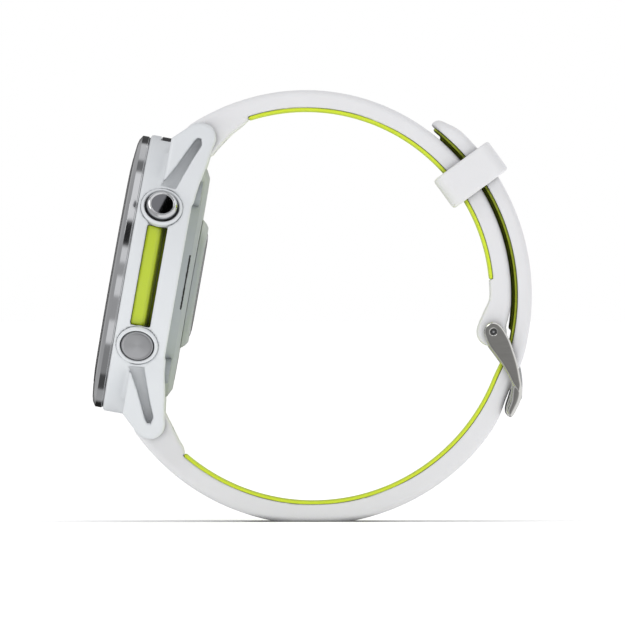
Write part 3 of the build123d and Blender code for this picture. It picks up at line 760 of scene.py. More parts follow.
def case_field(size):
    """The round wall with its lugs, recesses, button seats and hollow, in the case's local millimetres."""
    lug = flat_field(lug_outline())
    slot = flat_field(SLOT)
    radius, low, top = size.case_radius / MM, size.case_bottom / MM, size.case_top / MM
    half_gap, soft = size.lug_gap / MM / 2, size.edge_softness / MM
    corner = Vector((14.0, 25.6))
    tip_round = 1.4
    middle = atan2(corner.y, corner.x)
    spread = acos((radius - tip_round) / corner.length)

    def field(points):
        x, y, z = points.T
        across, up = np.abs(x), np.abs(y)
        out = np.hypot(x, y)
        wall = both(out - radius, slab(z, low, top), soft)
        flank = across * cos(middle - spread) + up * sin(middle - spread) - radius
        crown = across * cos(middle + spread) + up * sin(middle + spread) - radius
        lugs = both(lug(up, z), slab(across, half_gap, 19.0), 0.35)
        lugs = both(lugs, both(flank, crown, tip_round), 0.55)
        shell = either(wall, lugs, 0.9)
        pin = np.hypot(up - PIN_REACH / MM, z - PIN_HEIGHT / MM)
        shell = without(shell, np.maximum(pin - 3.1, across - half_gap), 0.2)
        shell = without(shell, np.maximum(pin - 0.9, across - 14.2), 0.1)
        depth = np.maximum(-(flank + 1.8), 14.55 - across)
        shell = without(shell, both(slot(up, z), depth, 0.35), 0.2)
        strip = np.maximum(np.maximum(slab(z, 6.75, 10.17), up - 8.4), np.maximum(20.4 - out, -x))
        shell = without(shell, strip, 0.12)
        for angle in BUTTONS.values():
            reach = x * cos(radians(angle)) + y * sin(radians(angle))
            ring = np.hypot(y * cos(radians(angle)) - x * sin(radians(angle)), z - BUTTON_HEIGHT)
            shell = without(shell, np.maximum(ring - 3.49, 22.6 - reach), 0.05)
            shell = without(shell, np.maximum(ring - 2.87, 21.1 - reach), 0.05)
        window = np.maximum(np.maximum(across - 5.5, slab(z, 8.8, 10.5)), 21.9 - y)
        shell = without(shell, window, 0.12)
        shell = without(shell, out - 19.6, 0.1)
        return without(shell, np.maximum(out - 20.45, z - low), 0.1)

    return field


def turned_piece(name, outline, place, body, slot, finish, nodes=(), soften=0.1, turns=160):
    """A lathed piece with its corners eased, fitted to its body."""
    made = lathed(name, [tuple(p) for p in softened(outline, soften)], place, turns)
    return fit_piece(made, body, slot, finish, *nodes)


RIM_TURNS = 256
CAP_TURNS = 96


class WATCH_OT_case(Operator):
    """Carve the round case with its four lugs"""

    bl_idname = "watch.case"
    bl_label = "Case"

    def execute(self, context):
        reach = (24.0, 27.6, 12.8)
        low = (-reach[0], -reach[1], 0.9)
        made = carved("case_shell", case_field(sizes()), low, reach, (0.36, 0.36, 0.3), by_matrix(CASE))
        fit_piece(made, "case", "case_polymer", "case_polymer", "case_body")
        return {"FINISHED"}


class WATCH_OT_bezel(Operator):
    """Turn the metal bezel, the lens and the gasket between them"""

    bl_idname = "watch.bezel"
    bl_label = "Bezel and lens"

    def execute(self, context):
        bezel = [
            (18.4, 12.36), (22.85, 12.36), (22.85, 12.6), (23.0, 12.6), (23.0, 13.67), (22.2, 14.17),
            (21.4, 14.38), (19.68, 14.58), (19.68, 13.2), (18.4, 13.2),
        ]
        turned_piece("bezel_ring", bezel, CASE, "case", "bezel_metal", "bezel_metal", ["bezel"], 0.08, RIM_TURNS)
        lens = [(0, 13.5), (19.6, 13.5), (19.6, 14.5), (18.9, 14.66), (17.4, 14.77), (0, 14.78)]
        nodes = ["display_lens"]
        turned_piece("lens_crystal", lens, CASE, "case", "lens_glass", "lens_glass", nodes, 0.1, RIM_TURNS)
        return {"FINISHED"}


class WATCH_OT_strip(Operator):
    """Set the lime strip in its recess between the two buttons"""

    bl_idname = "watch.strip"
    bl_label = "Accent strip"

    def execute(self, context):
        def field(points):
            x, y, z = points.T
            out = np.hypot(x, y)
            face = np.interp(z, [6.7, 7.1, 7.75, 8.3, 9.8, 10.2], [20.55, 20.8, 22.3, 22.6, 22.82, 22.72])
            ends = np.maximum(slab(z, 6.77, 10.15), np.abs(y) - 8.38)
            return both(np.maximum(out - face, 20.4 - out), ends, 0.08)

        def lamp_field(points):
            x, y, z = points.T
            out = np.hypot(x, y)
            ends = np.maximum(slab(z, 8.84, 10.46), np.abs(x) - 5.46)
            return both(np.maximum(out - 23.36, 21.9 - y), ends, 0.15)

        low, high = (-5.9, 21.5, 8.5), (5.9, 23.8, 10.8)
        lamp = carved("lamp_window", lamp_field, low, high, (0.25, 0.2, 0.16), by_matrix(CASE))
        fit_piece(lamp, "case", "sensor_glass", "flashlight_lens", "flashlight_window")
        low, high = (18.4, -8.8, 6.4), (23.2, 8.8, 10.5)
        made = carved("lime_strip", field, low, high, (0.14, 0.3, 0.14), by_matrix(CASE))
        fit_piece(made, "case", "accent_lime", "accent_lime", "accent_strip")
        return {"FINISHED"}


class WATCH_OT_back(Operator):
    """Turn the sensor's ring and window on the wrist side"""

    bl_idname = "watch.back"
    bl_label = "Back and sensor"

    def execute(self, context):
        ring = [(8.9, 0.3), (9.1, 0.2), (9.7, 0.22), (10.3, 0.62), (11.0, 1.42), (8.9, 1.42)]
        turned_piece("sensor_rim", ring, CASE, "case", "back_polymer", "back_polymer", ["sensor_ring"], 0.15)
        window = [(0, 0.0), (7.6, 0.0), (8.5, 0.1), (8.85, 0.3), (8.85, 1.9), (0, 1.9)]
        lean_out, lean_up = 0.764, 0.645
        slit_radius, slit_height = 19.2, 2.08

        def slit_field(points):
            x, y, z = points.T
            out, rise = np.hypot(x, y) - slit_radius, z - slit_height
            proud = out * lean_out - rise * lean_up
            up = out * lean_up + rise * lean_out
            cut = both(slab(proud, -0.3, 0.04), slab(up, 0.1, 0.5), 0.03)
            return both(cut, np.maximum(np.abs(y) - 4.7, -x), 0.15)

        low, high = (18.0, -5, 1.8), (20.2, 5, 3.2)
        slit = carved("vent_slit", slit_field, low, high, (0.12, 0.3, 0.12), by_matrix(CASE))
        fit_piece(slit, "case", "seal_rubber", "seal_rubber")
        nodes = ["sensor_window"]
        turned_piece("sensor_lens", window, CASE, "case", "sensor_glass", "sensor_glass", nodes, 0.15)
        return {"FINISHED"}


# ------------------------------------------------------------------ the buttons
class WATCH_OT_buttons(Operator):
    """Turn the five button caps and the ring that guards each"""

    bl_idname = "watch.buttons"
    bl_label = "Buttons"

    def execute(self, context):
        stem = [(0, 18.9), (0.85, 18.9), (0.85, 22.35)]
        domed = stem + [
            (2.6, 22.35), (2.6, 23.85), (2.52, 24.25), (2.3, 24.55), (2.12, 24.62), (1.98, 24.5), (1.9, 24.4),
            (1.8, 24.4), (0, 24.4),
        ]
        flat = stem + [
            (2.75, 22.35), (2.75, 23.4), (2.6, 23.62), (2.45, 23.62), (2.3, 23.56), (2.15, 23.55), (0, 23.5),
        ]
        plain = stem + [(2.6, 22.35), (2.6, 23.6), (2.3, 23.95), (2.1, 23.95), (0, 23.9)]
        shapes = {"start": (domed, "steel_button"), "back": (flat, "spun_steel")}
        guard = [(2.89, 22.62), (3.49, 22.62), (3.49, 23.42), (3.3, 23.7), (3.05, 23.72), (2.89, 23.55)]
        for name, angle in BUTTONS.items():
            place = button_axes(angle)
            outline, finish = shapes.get(name, (plain, "spun_steel"))
            ease = (0.12, CAP_TURNS)
            turned_piece(f"{name}_cap", outline, place, name, "steel_button", finish, [f"{name}_button"], *ease)
            nodes = ["button_guards"] if name == "start" else []
            turned_piece(f"{name}_guard", guard, place, "case", "case_polymer", "case_polymer", nodes, *ease)
        return {"FINISHED"}


# ------------------------------------------------------------------ what repeats, and the coil springs
def node_tree(name, inputs):
    """A geometry node tree with named inputs, and what they give."""
    tree = bpy.data.node_groups.new(name, "GeometryNodeTree")
    for socket, kind in inputs.items():
        tree.interface.new_socket(name=socket, in_out="INPUT", socket_type="NodeSocket" + kind)
    tree.interface.new_socket(name="Shape", in_out="OUTPUT", socket_type="NodeSocketGeometry")
    return tree, add_node(tree, "NodeGroupInput").outputs


def close_tree(tree, shape, finish):
    """End a tree with real geometry that has its material."""
    solid = add_node(tree, "GeometryNodeRealizeInstances", [("Geometry", shape)]).outputs[0]
    finished = add_node(tree, "GeometryNodeSetMaterial", [("Geometry", solid), ("Material", finish)])
    add_node(tree, "NodeGroupOutput", [("Shape", finished.outputs[0])])
    return tree


def ring_tree():
    """Copies of an item stood evenly round local z, each turned to face outwards."""
    inputs = {"Item": "Object", "Count": "Int", "Radius": "Float", "First angle": "Float"}
    inputs["Finish"] = "Material"
    tree, given = node_tree("ring_of_items", inputs)
    index = add_node(tree, "GeometryNodeInputIndex").outputs["Index"]
    share = add_node(tree, "ShaderNodeMath", [(0, index), (1, given["Count"])], operation="DIVIDE").outputs[0]
    turned = [(0, share), (1, 2 * pi), (2, given["First angle"])]
    angle = add_node(tree, "ShaderNodeMath", turned, operation="MULTIPLY_ADD").outputs[0]
    reach = add_node(tree, "ShaderNodeCombineXYZ", [("X", given["Radius"])]).outputs[0]
    turned = [("Vector", reach), ("Angle", angle)]
    place = add_node(tree, "ShaderNodeVectorRotate", turned, rotation_type="Z_AXIS").outputs[0]
    points = add_node(tree, "GeometryNodePoints", [("Count", given["Count"]), ("Position", place)]).outputs[0]
    item = add_node(tree, "GeometryNodeObjectInfo", [("Object", given["Item"])]).outputs["Geometry"]
    turn = add_node(tree, "ShaderNodeCombineXYZ", [("Z", angle)]).outputs[0]
    copies = [("Points", points), ("Instance", item), ("Rotation", turn)]
    ring = add_node(tree, "GeometryNodeInstanceOnPoints", copies).outputs[0]
    return close_tree(tree, ring, given["Finish"])


def coil_tree():
    """A wire wound round local z."""
    inputs = {"Turns": "Float", "Radius": "Float", "Length": "Float", "Wire": "Float", "Finish": "Material"}
    tree, given = node_tree("wound_wire", inputs)
    winding = [("Resolution", 24), ("Rotations", given["Turns"]), ("Height", given["Length"])]
    winding += [("Start Radius", given["Radius"]), ("End Radius", given["Radius"])]
    path = add_node(tree, "GeometryNodeCurveSpiral", winding).outputs["Curve"]
    round_wire = [("Resolution", 10), ("Radius", given["Wire"])]
    section = add_node(tree, "GeometryNodeCurvePrimitiveCircle", round_wire)
    wire = [("Curve", path), ("Profile Curve", section.outputs["Curve"]), ("Fill Caps", True)]
    return close_tree(tree, add_node(tree, "GeometryNodeCurveToMesh", wire).outputs[0], given["Finish"])


def by_nodes(name, tree, values, place):
    """A plain mesh of what a tree makes from its named inputs, put in its place."""
    made = new_object(name, [], [])
    modifier = made.modifiers.new("nodes", "NODES")
    modifier.node_group = tree
    for socket in tree.interface.items_tree:
        if socket.in_out == "INPUT":
            modifier[socket.identifier] = values[socket.name]
    shape = made.evaluated_get(bpy.context.evaluated_depsgraph_get())
    mesh = bpy.data.meshes.new_from_object(shape)
    made.modifiers.clear()
    mesh.transform(place @ Matrix.Scale(1 / MM, 4))
    made.data = mesh
    return made


def ringed(name, item, count, radius, first, finish):
    """A plain mesh of the item repeated round the case's axis; the item itself is used up."""
    tree = bpy.data.node_groups.get("ring_of_items") or ring_tree()
    values = {"Item": item, "Count": count, "Radius": radius, "First angle": radians(first)}
    values["Finish"] = material(finish)
    made = by_nodes(name, tree, values, CASE)
    bpy.data.objects.remove(item)
    return made


LOCAL = Matrix.Scale(MM, 4)


class WATCH_OT_screws(Operator):
    """Set the four screws that hold the back"""

    bl_idname = "watch.screws"
    bl_label = "Back screws"

    def execute(self, context):
        def field(points):
            x, y, z = points.T
            out, turn = np.hypot(x, y), np.arctan2(y, x)
            head = both(out - 1.28, slab(z, 2.25, 3.0), 0.16)
            screw = either(head, both(out - 0.7, slab(z, 2.9, 7.5), 0.1), 0.05)
            star = np.maximum(out - 0.66 - 0.1 * np.cos(6 * turn), slab(z, 2.0, 2.75))
            return without(screw, star, 0.05)

        item = carved("screw", field, (-1.5, -1.5, 2.0), (1.5, 1.5, 7.8), (0.1, 0.1, 0.15), by_matrix(LOCAL))
        made = ringed("back_screws", item, 4, 21.2 * MM, 45, "pin_steel")
        fit_piece(made, "case", "pin_steel", "pin_steel", "caseback_screws")
        return {"FINISHED"}


class WATCH_OT_face(Operator):
    """Draw the display's picture: marks, the time and a progress arc"""

    bl_idname = "watch.face"
    bl_label = "Display picture"

    def execute(self, context):
        low, high = 13.41, 13.44
        count = sizes().minute_marks
        rings = (
            ("minute_marks", count, 17.3, 0.7, 0.14, "grey_pixels"),
            ("hour_marks", 12, 16.0, 1.5, 0.34, "white_pixels"),
        )
        for name, number, radius, length, width, finish in rings:
            def bar(points):
                x, y, z = points.T
                sides = both(np.abs(x) - length / 2, np.abs(y) - width / 2, width / 3)
                return both(sides, slab(z, low, high), 0.005)

            reach = (length / 2 + 0.1, width / 2 + 0.1)
            cell = (0.12, width / 5, 0.014)
            item = carved("mark", bar, (-reach[0], -reach[1], 13.39), (*reach, 13.46), cell, by_matrix(LOCAL))
            made = ringed(name, item, number, radius * MM, 90, finish)
            fit_piece(made, "case", "display", finish)
        self.words("time_digits", "10:09", 8.2, (0, 0.6), "white_pixels", low)
        self.words("pulse_digits", "68", 3.6, (-5.4, -6.2), "grey_pixels", low)
        self.words("count_digits", "8240", 3.6, (4.2, -6.2), "lime_pixels", low)
        steps = np.linspace(radians(225), radians(15), 120)
        outline = [(r * cos(a), r * sin(a)) for r, path in ((14.2, steps), (13.6, steps[::-1])) for a in path]
        self.flat_piece("progress_arc", outline, "lime_pixels", low, high)
        return {"FINISHED"}

    def flat_piece(self, name, outline, finish, low, high):
        """A thin closed plate with an outline in the case's own millimetres."""
        count = len(outline)
        half = count // 2
        points = [CASE @ Vector((x, y, z)) for z in (low, high) for x, y in outline]
        top = [(count + k, count + k + 1, 2 * count - k - 2, 2 * count - k - 1) for k in range(half - 1)]
        bottom = [tuple(v - count for v in face[::-1]) for face in top]
        sides = [(k, count + k, count + (k + 1) % count, (k + 1) % count) for k in range(count)]
        made = new_object(name, points, top + bottom + sides, False)
        if made.data.polygons[0].normal.dot(OUTWARD) < 0:
            made.data.flip_normals()
        fit_piece(made, "case", "display", finish)

    def words(self, name, text, height, place, finish, low):
        """Plain digits, made a mesh and set just under the lens."""
        curve = bpy.data.curves.new(name, "FONT")
        curve.body = text
        curve.size = height
        curve.align_x, curve.align_y = "CENTER", "CENTER"
        curve.extrude = 0.012
        made = bpy.data.objects.new(name, curve)
        bpy.context.scene.collection.objects.link(made)
        mesh = bpy.data.meshes.new_from_object(made.evaluated_get(bpy.context.evaluated_depsgraph_get()))
        bpy.data.objects.remove(made)
        mesh.transform(CASE @ Matrix.Translation((*place, low + 0.013)))
        solid = bpy.data.objects.new(name, mesh)
        bpy.context.scene.collection.objects.link(solid)
        solid.data.materials.clear()
        fit_piece(solid, "case", "display", finish)


# ------------------------------------------------------------------ the strap
UPPER_CENTRE = (STRAP_CENTRE.x / MM, STRAP_CENTRE.z / MM)
LOW_CENTRE = (LOWER_CENTRE.x / MM, LOWER_CENTRE.z / MM)
UPPER_INNER, UPPER_OUTER = 30.8, 34.25
TAIL_INNER, TAIL_OUTER = 34.85, 37.7
LOWER_INNER, LOWER_OUTER = 32.45, 36.3
LINER = 0.5
PIN_UP = (UPPER_PIN.x / MM, UPPER_PIN.z / MM)
PIN_LOW = (LOWER_PIN.x / MM, LOWER_PIN.z / MM)
PIN_BUCKLE = (BUCKLE_PIN.x / MM, BUCKLE_PIN.z / MM)
WIDTHS = ((-14, 16), (11.0, 10.0))
TIP_RADIUS = 5.5


def polar(centre, radius, angle):
    """A place at a radius and an angle from a centre."""
    return (centre[0] + radius * cos(radians(angle)), centre[1] + radius * sin(radians(angle)))


# the wrist side of each strap's end, from its lug pin: (into the strap, away from the wrist)
SOLE_UP = ((-0.2, -3.45), (1.06, -3.15), (3.1, -2.65), (5.2, -2.25), (6.9, -2.15))
SOLE_LOW = ((6.6, -2.15), (5.0, -2.35), (3.4, -2.6), (1.2, -2.95), (-0.4, -3.1))


def by_pin(pin, centre, way, u, v):
    """A place near a lug pin: u into the strap, v away from the wrist."""
    angle = bearing(centre, pin)[1]
    into, away = [way * c for c in heading(angle)], (cos(radians(angle)), sin(radians(angle)))
    return (pin[0] + u * into[0] + v * away[0], pin[1] + u * into[1] + v * away[1])


def upper_outline():
    """Side outline of the upper band, without its liner."""
    crown_radius, crown_angle = 36.37, 100
    crown = polar(UPPER_CENTRE, UPPER_OUTER - crown_radius, crown_angle)
    reach, crown_end = bearing(crown, PIN_UP)
    knuckle = arc(PIN_UP, crown_radius - reach, crown_end, 268)
    sole = [by_pin(PIN_UP, UPPER_CENTRE, -1, u, v) for u, v in SOLE_UP]
    sole_end = polar(UPPER_CENTRE, UPPER_INNER, 108)
    heel = arc((PIN_BUCKLE[0] - 0.2, PIN_BUCKLE[1]), 2.45, 180, 380)
    down = eased([polar(UPPER_CENTRE, UPPER_INNER, 0), (28.5, 34.6), heel[0]], (0, -1), (0, -1))
    return (
        arc(UPPER_CENTRE, UPPER_OUTER, -3, crown_angle)
        + arc(crown, crown_radius, crown_angle, crown_end)[1:]
        + knuckle[1:]
        + eased([knuckle[-1], *sole, sole_end], heading(268), heading(108 + 180))[1:]
        + arc(UPPER_CENTRE, UPPER_INNER + LINER, 108, 5.2)
        + arc(UPPER_CENTRE, UPPER_INNER, 5.2, 0)
        + down[1:] + heel[1:]
    )


def lower_inside(lift, start):
    """The wrist side of the lower strap, moved outwards by lift, from a start angle to its tip."""
    low = arc(LOW_CENTRE, LOWER_INNER + lift, start, -22)
    high = arc(UPPER_CENTRE, TAIL_INNER + lift, -12, 52.5)
    return low + eased([low[-1], high[0]], heading(-22), heading(-12))[1:] + high[1:]


def lower_outline():
    """Side outline of the lower band, up to the tip of its tail, without its liner."""
    reach, pin_angle = bearing(LOW_CENTRE, PIN_LOW)
    foot = arc(LOW_CENTRE, LOWER_OUTER, pin_angle, -38)
    back = arc(UPPER_CENTRE, TAIL_OUTER, -16, 46)
    rise = eased([foot[-1], (31.0, 17.2), (32.35, 20.75), (33.6, 23.75), back[0]], heading(-38), heading(-16))
    rounding = ((37.25, 50), (36.4, 53.3), (35.5, 53.6), (TAIL_INNER + LINER, 52.9))
    tip = eased([back[-1]] + [polar(UPPER_CENTRE, *place) for place in rounding], heading(46), steps=4)
    heel = arc(PIN_LOW, LOWER_OUTER - reach, pin_angle - 145, pin_angle)
    sole = [by_pin(PIN_LOW, LOW_CENTRE, 1, u, v) for u, v in SOLE_LOW]
    lined = lower_inside(LINER, -131)
    start = polar(LOW_CENTRE, LOWER_INNER, -131.3)
    return (
        foot + rise[1:] + back[1:] + tip[1:] + lined[::-1]
        + eased([start, *sole, heel[0]], heading(-131 - 180), heading(pin_angle - 145))[:-1] + heel
    )


def fine_arc(centre, radius, start, stop):
    """Points along an arc every half degree, which a strap is bent along."""
    return [polar(centre, radius, a) for a in np.arange(start, stop + 0.01, 0.5)]


def upper_line():
    """The line that the upper strap is bent along."""
    return Beside(fine_arc(UPPER_CENTRE, UPPER_INNER, -40, 150))


def lower_line():
    """The line that the lower strap and its tail are bent along."""
    low = fine_arc(LOW_CENTRE, LOWER_INNER, -170, -22)
    high = fine_arc(UPPER_CENTRE, TAIL_INNER, -12, 66)
    return Beside(low + eased([low[-1], high[0]], heading(-22), heading(-12), 16)[1:] + high[1:])


def strap_slots(line):
    """(middle along the strap, length) of the slots: the tang's own, six below it and seven above it."""
    size = sizes()
    pitch, length = size.slot_pitch / MM, size.slot_length / MM
    places = [(33.35, 27.2)]
    lengths = [6.4] + [length] * 13
    below, above = 6, 7
    for step in range(below):
        places.append(polar(LOW_CENTRE, 34.2, -27.0 - degrees(pitch / LOWER_INNER) * step))
    for step in range(above):
        places.append(polar(UPPER_CENTRE, 36.3, -7.6 + degrees(pitch / TAIL_OUTER) * step))
    return [(found[0], long) for found, long in zip(line.find(places), lengths)]


def half_width(line, along, tip):
    """Half the strap's width, tapered towards the buckle and rounded at the tip of its tail."""
    half = np.interp(line.forward(along), *WIDTHS)
    if tip:
        past = np.clip(along - tip + TIP_RADIUS, 0, TIP_RADIUS)
        half = half - TIP_RADIUS + np.sqrt(np.clip(TIP_RADIUS ** 2 - past ** 2, 0.01, None))
    return half


def cut_slots(shell, along, across, slots, width, soft):
    """Round-ended slots through a strap, each given by its middle and its length."""
    for middle, long in slots:
        reach = np.maximum(np.abs(along - middle) - (long - width) / 2, 0)
        shell = without(shell, np.hypot(reach, across) - width / 2, soft)
    return shell


def cut_pin_end(shell, u, v, across):
    """The lug pin's mouth and the latch's channel; u runs into the strap, v away from the wrist."""
    pin = np.hypot(u, v) - 0.95
    mouth = np.maximum(np.abs(u) - 0.88, v)
    shell = without(shell, np.minimum(pin, np.maximum(mouth, np.abs(across) - 9.2)), 0.12)
    channel = np.maximum(np.maximum(slab(u, -1.8, 6.8), v + 2.0), np.abs(across) - 4.6)
    return without(shell, channel, 0.15)


def band_field(line, outline, pin, way, slots=(), tip=None):
    """A band in (along, across, out): a tapered side outline, soft on its outer edges and crisp inside."""
    profile = flat_field(line.find(outline))
    pin_along, pin_out = line.find([pin])[0]
    edge = sizes().strap_edge / MM
    width = sizes().slot_width / MM

    def field(points):
        along, across, out = points.T
        half = half_width(line, along, tip)
        soft = np.interp(out, [-0.5, 0.1, 0.45, 1.8], [0.5, 0.2, 0.12, edge])
        shell = both(profile(along, out), np.abs(across) - half, soft)
        shell = cut_slots(shell, along, across, slots, width, 0.3)
        return cut_pin_end(shell, way * (along - pin_along), out - pin_out, across)

    return field


def liner_field(line, start, stop, slots=(), tip=None, tail=None):
    """The lime layer under a band; past tail it is set in from the edges and rests on the strap below."""
    ends = [found[0] for found in line.find([start, stop])]
    low, high = min(ends), max(ends)
    width = sizes().slot_width / MM

    def field(points):
        along, across, out = points.T
        half = half_width(line, along, tip)
        if tail:
            half = half - np.interp(along, [tail - 6, tail + 2], [0, 1.5])
        shell = both(slab(out, 0.0, LINER), np.abs(across) - half, 0.14)
        if tail:
            resting = both(slab(out, -0.52, LINER), np.abs(across) - np.minimum(half - 1, 6.5), 0.3)
            shell = either(shell, both(resting, slab(along, tail, high - 1.7), 0.45), 0.2)
        shell = np.maximum(shell, slab(along, low, high))
        return cut_slots(shell, along, across, slots, width, 0.1)

    return field


class WATCH_OT_upper_strap(Operator):
    """Mould the upper strap: the pale band and the lime liner under it"""

    bl_idname = "watch.upper_strap"
    bl_label = "Upper strap"

    def execute(self, context):
        line = upper_line()
        outline = upper_outline()
        plain = band_field(line, outline, PIN_UP, -1)
        notch = line.find([(PIN_BUCKLE[0] + 0.6, PIN_BUCKLE[1] - 0.6)])[0]

        pin = line.find([PIN_BUCKLE])[0]

        def field(points):
            along, across, out = points.T
            gap = np.maximum(np.abs(along - notch[0]) - 2.9, np.abs(out - notch[1]) - 3.6)
            gap = np.maximum(gap, np.abs(across) - 1.8)
            bore = np.hypot(along - pin[0], out - pin[1]) - 0.76
            return without(without(plain(points), gap, 0.3), bore, 0.08)

        reach = np.array(line.find(outline))
        low = (reach[:, 0].min() - 0.8, -11.6, reach[:, 1].min() - 0.8)
        high = (reach[:, 0].max() + 0.8, 11.6, reach[:, 1].max() + 0.8)
        made = carved("upper_band", field, low, high, (0.5, 0.42, 0.3), line.bent)
        fit_piece(made, "upper_strap", "band_silicone", "band_silicone", "upper_strap_band")
        ends = [polar(UPPER_CENTRE, UPPER_INNER, a) for a in (5.2, 108)]
        thin = liner_field(line, *ends)
        low, high = (low[0], -11.4, -0.4), (high[0], 11.4, 0.9)
        made = carved("upper_liner", thin, low, high, (0.6, 0.3, 0.13), line.bent)
        fit_piece(made, "upper_strap", "liner_silicone", "liner_silicone", "upper_strap_liner")
        return {"FINISHED"}


class WATCH_OT_lower_strap(Operator):
    """Mould the lower strap with its slots, up to the tip of its tail"""

    bl_idname = "watch.lower_strap"
    bl_label = "Lower strap"

    def execute(self, context):
        line = lower_line()
        outline = lower_outline()
        slots = strap_slots(line)
        reach = np.array(line.find(outline))
        tip = reach[:, 0].max()
        low = (reach[:, 0].min() - 0.8, -11.6, reach[:, 1].min() - 0.8)
        high = (tip + 0.8, 11.6, reach[:, 1].max() + 0.8)
        plain = band_field(line, outline, PIN_LOW, 1, slots, tip)

        def field(points):
            height = line.bent(points)[:, 2] / MM
            return both(plain(points), 0.02 - height, 0.05)

        made = carved("lower_band", field, low, high, (0.55, 0.42, 0.3), line.bent)
        self.follow(fit_material(made, "band_silicone"), "band_silicone", "lower_strap_band")
        ends = [polar(LOW_CENTRE, LOWER_INNER, -131), polar(UPPER_CENTRE, TAIL_INNER, 52.4)]
        tail = line.find([polar(UPPER_CENTRE, TAIL_INNER, -9.5)])[0][0]
        thin = liner_field(line, *ends, slots, tip, tail)
        low, high = (low[0], -11.4, -0.8), (high[0], 11.4, 0.9)
        made = carved("lower_liner", thin, low, high, (0.6, 0.3, 0.13), line.bent)
        self.follow(fit_material(made, "liner_silicone"), "liner_silicone", "lower_strap_liner")
        return {"FINISHED"}

    def follow(self, made, slot, node):
        """Bake the piece's place into its mesh and hide the CAD node it stands for."""
        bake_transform(made)
        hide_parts(node)


def fit_material(made, finish):
    """Give a piece its material."""
    made.data.materials.append(material(finish))
    return made


class WATCH_OT_latches(Operator):
    """Shape the two slides that release the straps"""

    bl_idname = "watch.latches"
    bl_label = "Latches"

    def execute(self, context):
        def field(points):
            u, v, w = points.T
            plate = both(both(slab(u, -1.3, 3.4), slab(v, -2.6, -2.05), 0.12), np.abs(w) - 4.35, 0.2)
            ridges = np.maximum(slab(u, 1.1, 3.2), np.abs(w) - 3.2)
            wave = slab(v, -2.62 - 0.14 * np.cos(u * 2 * pi / 0.7), -2.3)
            grip = both(both(ridges, wave, 0.08), plate - 0.3, 0.1)
            rib = both(both(slab(u, 2.1, 3.3), slab(v, -2.1, -1.1), 0.1), np.abs(w) - 1.0, 0.1)
            return either(np.minimum(plate, grip), rib, 0.05)

        ends = (("upper", PIN_UP, UPPER_CENTRE, -1, "upper_strap"), ("lower", PIN_LOW, LOW_CENTRE, 1, "case"))
        marks = ((0, 0), (1, 0), (0, 1), (3.42, -1.4), (6.7, -1.4))
        coil = coil_tree()
        for name, pin, centre, way, body in ends:
            points = [by_pin(pin, centre, way, u, v) for u, v in marks]
            origin, into, away, spring_start, spring_end = (Vector((x, 0, z)) for x, z in points)
            into, away = into - origin, away - origin
            place = axes_at(origin * MM, into, away, into.cross(away))
            length = (spring_end - spring_start).length
            values = {"Turns": 5.0, "Radius": 0.43 * MM, "Length": (length - 0.22) * MM, "Wire": 0.1 * MM}
            values["Finish"] = material("spring_steel")
            seat = axes_at((spring_start + into * 0.11) * MM, away, into.cross(away), into)
            made = by_nodes(f"{name}_coil", coil, values, seat)
            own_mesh(made)
            fit_piece(made, body, "spring_steel", "spring_steel", f"{name}_latch_spring")
            low, high = (-1.6, -3.1, -4.7), (3.7, -0.9, 4.7)
            made = carved(f"{name}_release", field, low, high, (0.12, 0.11, 0.2), by_matrix(place))
            fit_piece(made, f"{name}_latch_slider", "link_polymer", "link_polymer", f"{name}_latch")
        return {"FINISHED"}


class WATCH_OT_keeper(Operator):
    """Mould the loop that holds the strap's tail"""

    bl_idname = "watch.keeper"
    bl_label = "Strap keeper"

    def execute(self, context):
        angle = radians(36.2)
        centre = Vector(polar(UPPER_CENTRE, 34.15, 36.2))
        out = Vector((cos(angle), sin(angle)))

        def field(points):
            a, y, b = points.T
            window = both(np.abs(np.hypot(34.15 + a, b) - 34.25) - 3.7, np.abs(y) - 10.35, 0.9)
            loop = both(np.abs(a) - 5.55, np.abs(y) - 12.3, 2.0)
            loop = both(loop, np.abs(b) - 2.9, 0.55)
            return without(loop, window, 0.4)

        way = Vector((out.x, 0, out.y))
        along = Vector((-out.y, 0, out.x))
        place = axes_at(Vector((centre.x, 0, centre.y)) * MM, way, Vector((0, -1, 0)), along)
        made = carved("keeper_loop", field, (-6.2, -12.9, -3.5), (6.2, 12.9, 3.5), 0.26, by_matrix(place))
        fit_piece(made, "keeper", "band_silicone", "band_silicone", "strap_keeper")
        return {"FINISHED"}


# ------------------------------------------------------------------ the buckle
SIDE_VIEW = Matrix(((MM, 0, 0, 0), (0, 0, -MM, 0), (0, MM, 0, 0), (0, 0, 0, 1)))
EYE = 1.6
BARREL = 1.4


def arm_outline():
    """Side outline of the buckle's arms, from the eye round the pin to the rounded far end."""
    back = [(32.6, 30.85), (33.67, 28.0), (34.25, 26.0), (34.62, 24.0), (34.8, 22.6), (34.4, 21.5)]
    front = [(34.1, 21.9), (33.2, 23.2), (32.67, 24.33), (31.5, 26.33), (30.6, 27.6), (29.35, 29.35)]
    outer = eased([polar(PIN_BUCKLE, EYE, 50)] + back, heading(230), (-0.6, -0.8))
    inner = eased(front + [polar(PIN_BUCKLE, EYE, 200)], (-0.6, 0.8), heading(20))
    return outer + inner + arc(PIN_BUCKLE, EYE, 200, 50)[1:-1]


def bar_end_outline():
    """Side outline of the rounded end of the buckle's far bar."""
    points = [
        (33.15, 22.2), (32.95, 20.3), (32.4, 18.0), (32.9, 17.45), (34.2, 19.1), (34.9, 21.3), (34.85, 22.8),
        (34.4, 24.2), (33.6, 23.6),
    ]
    return eased(points + points[:1], (-0.2, -1), (-0.2, -1), 5)[:-1]


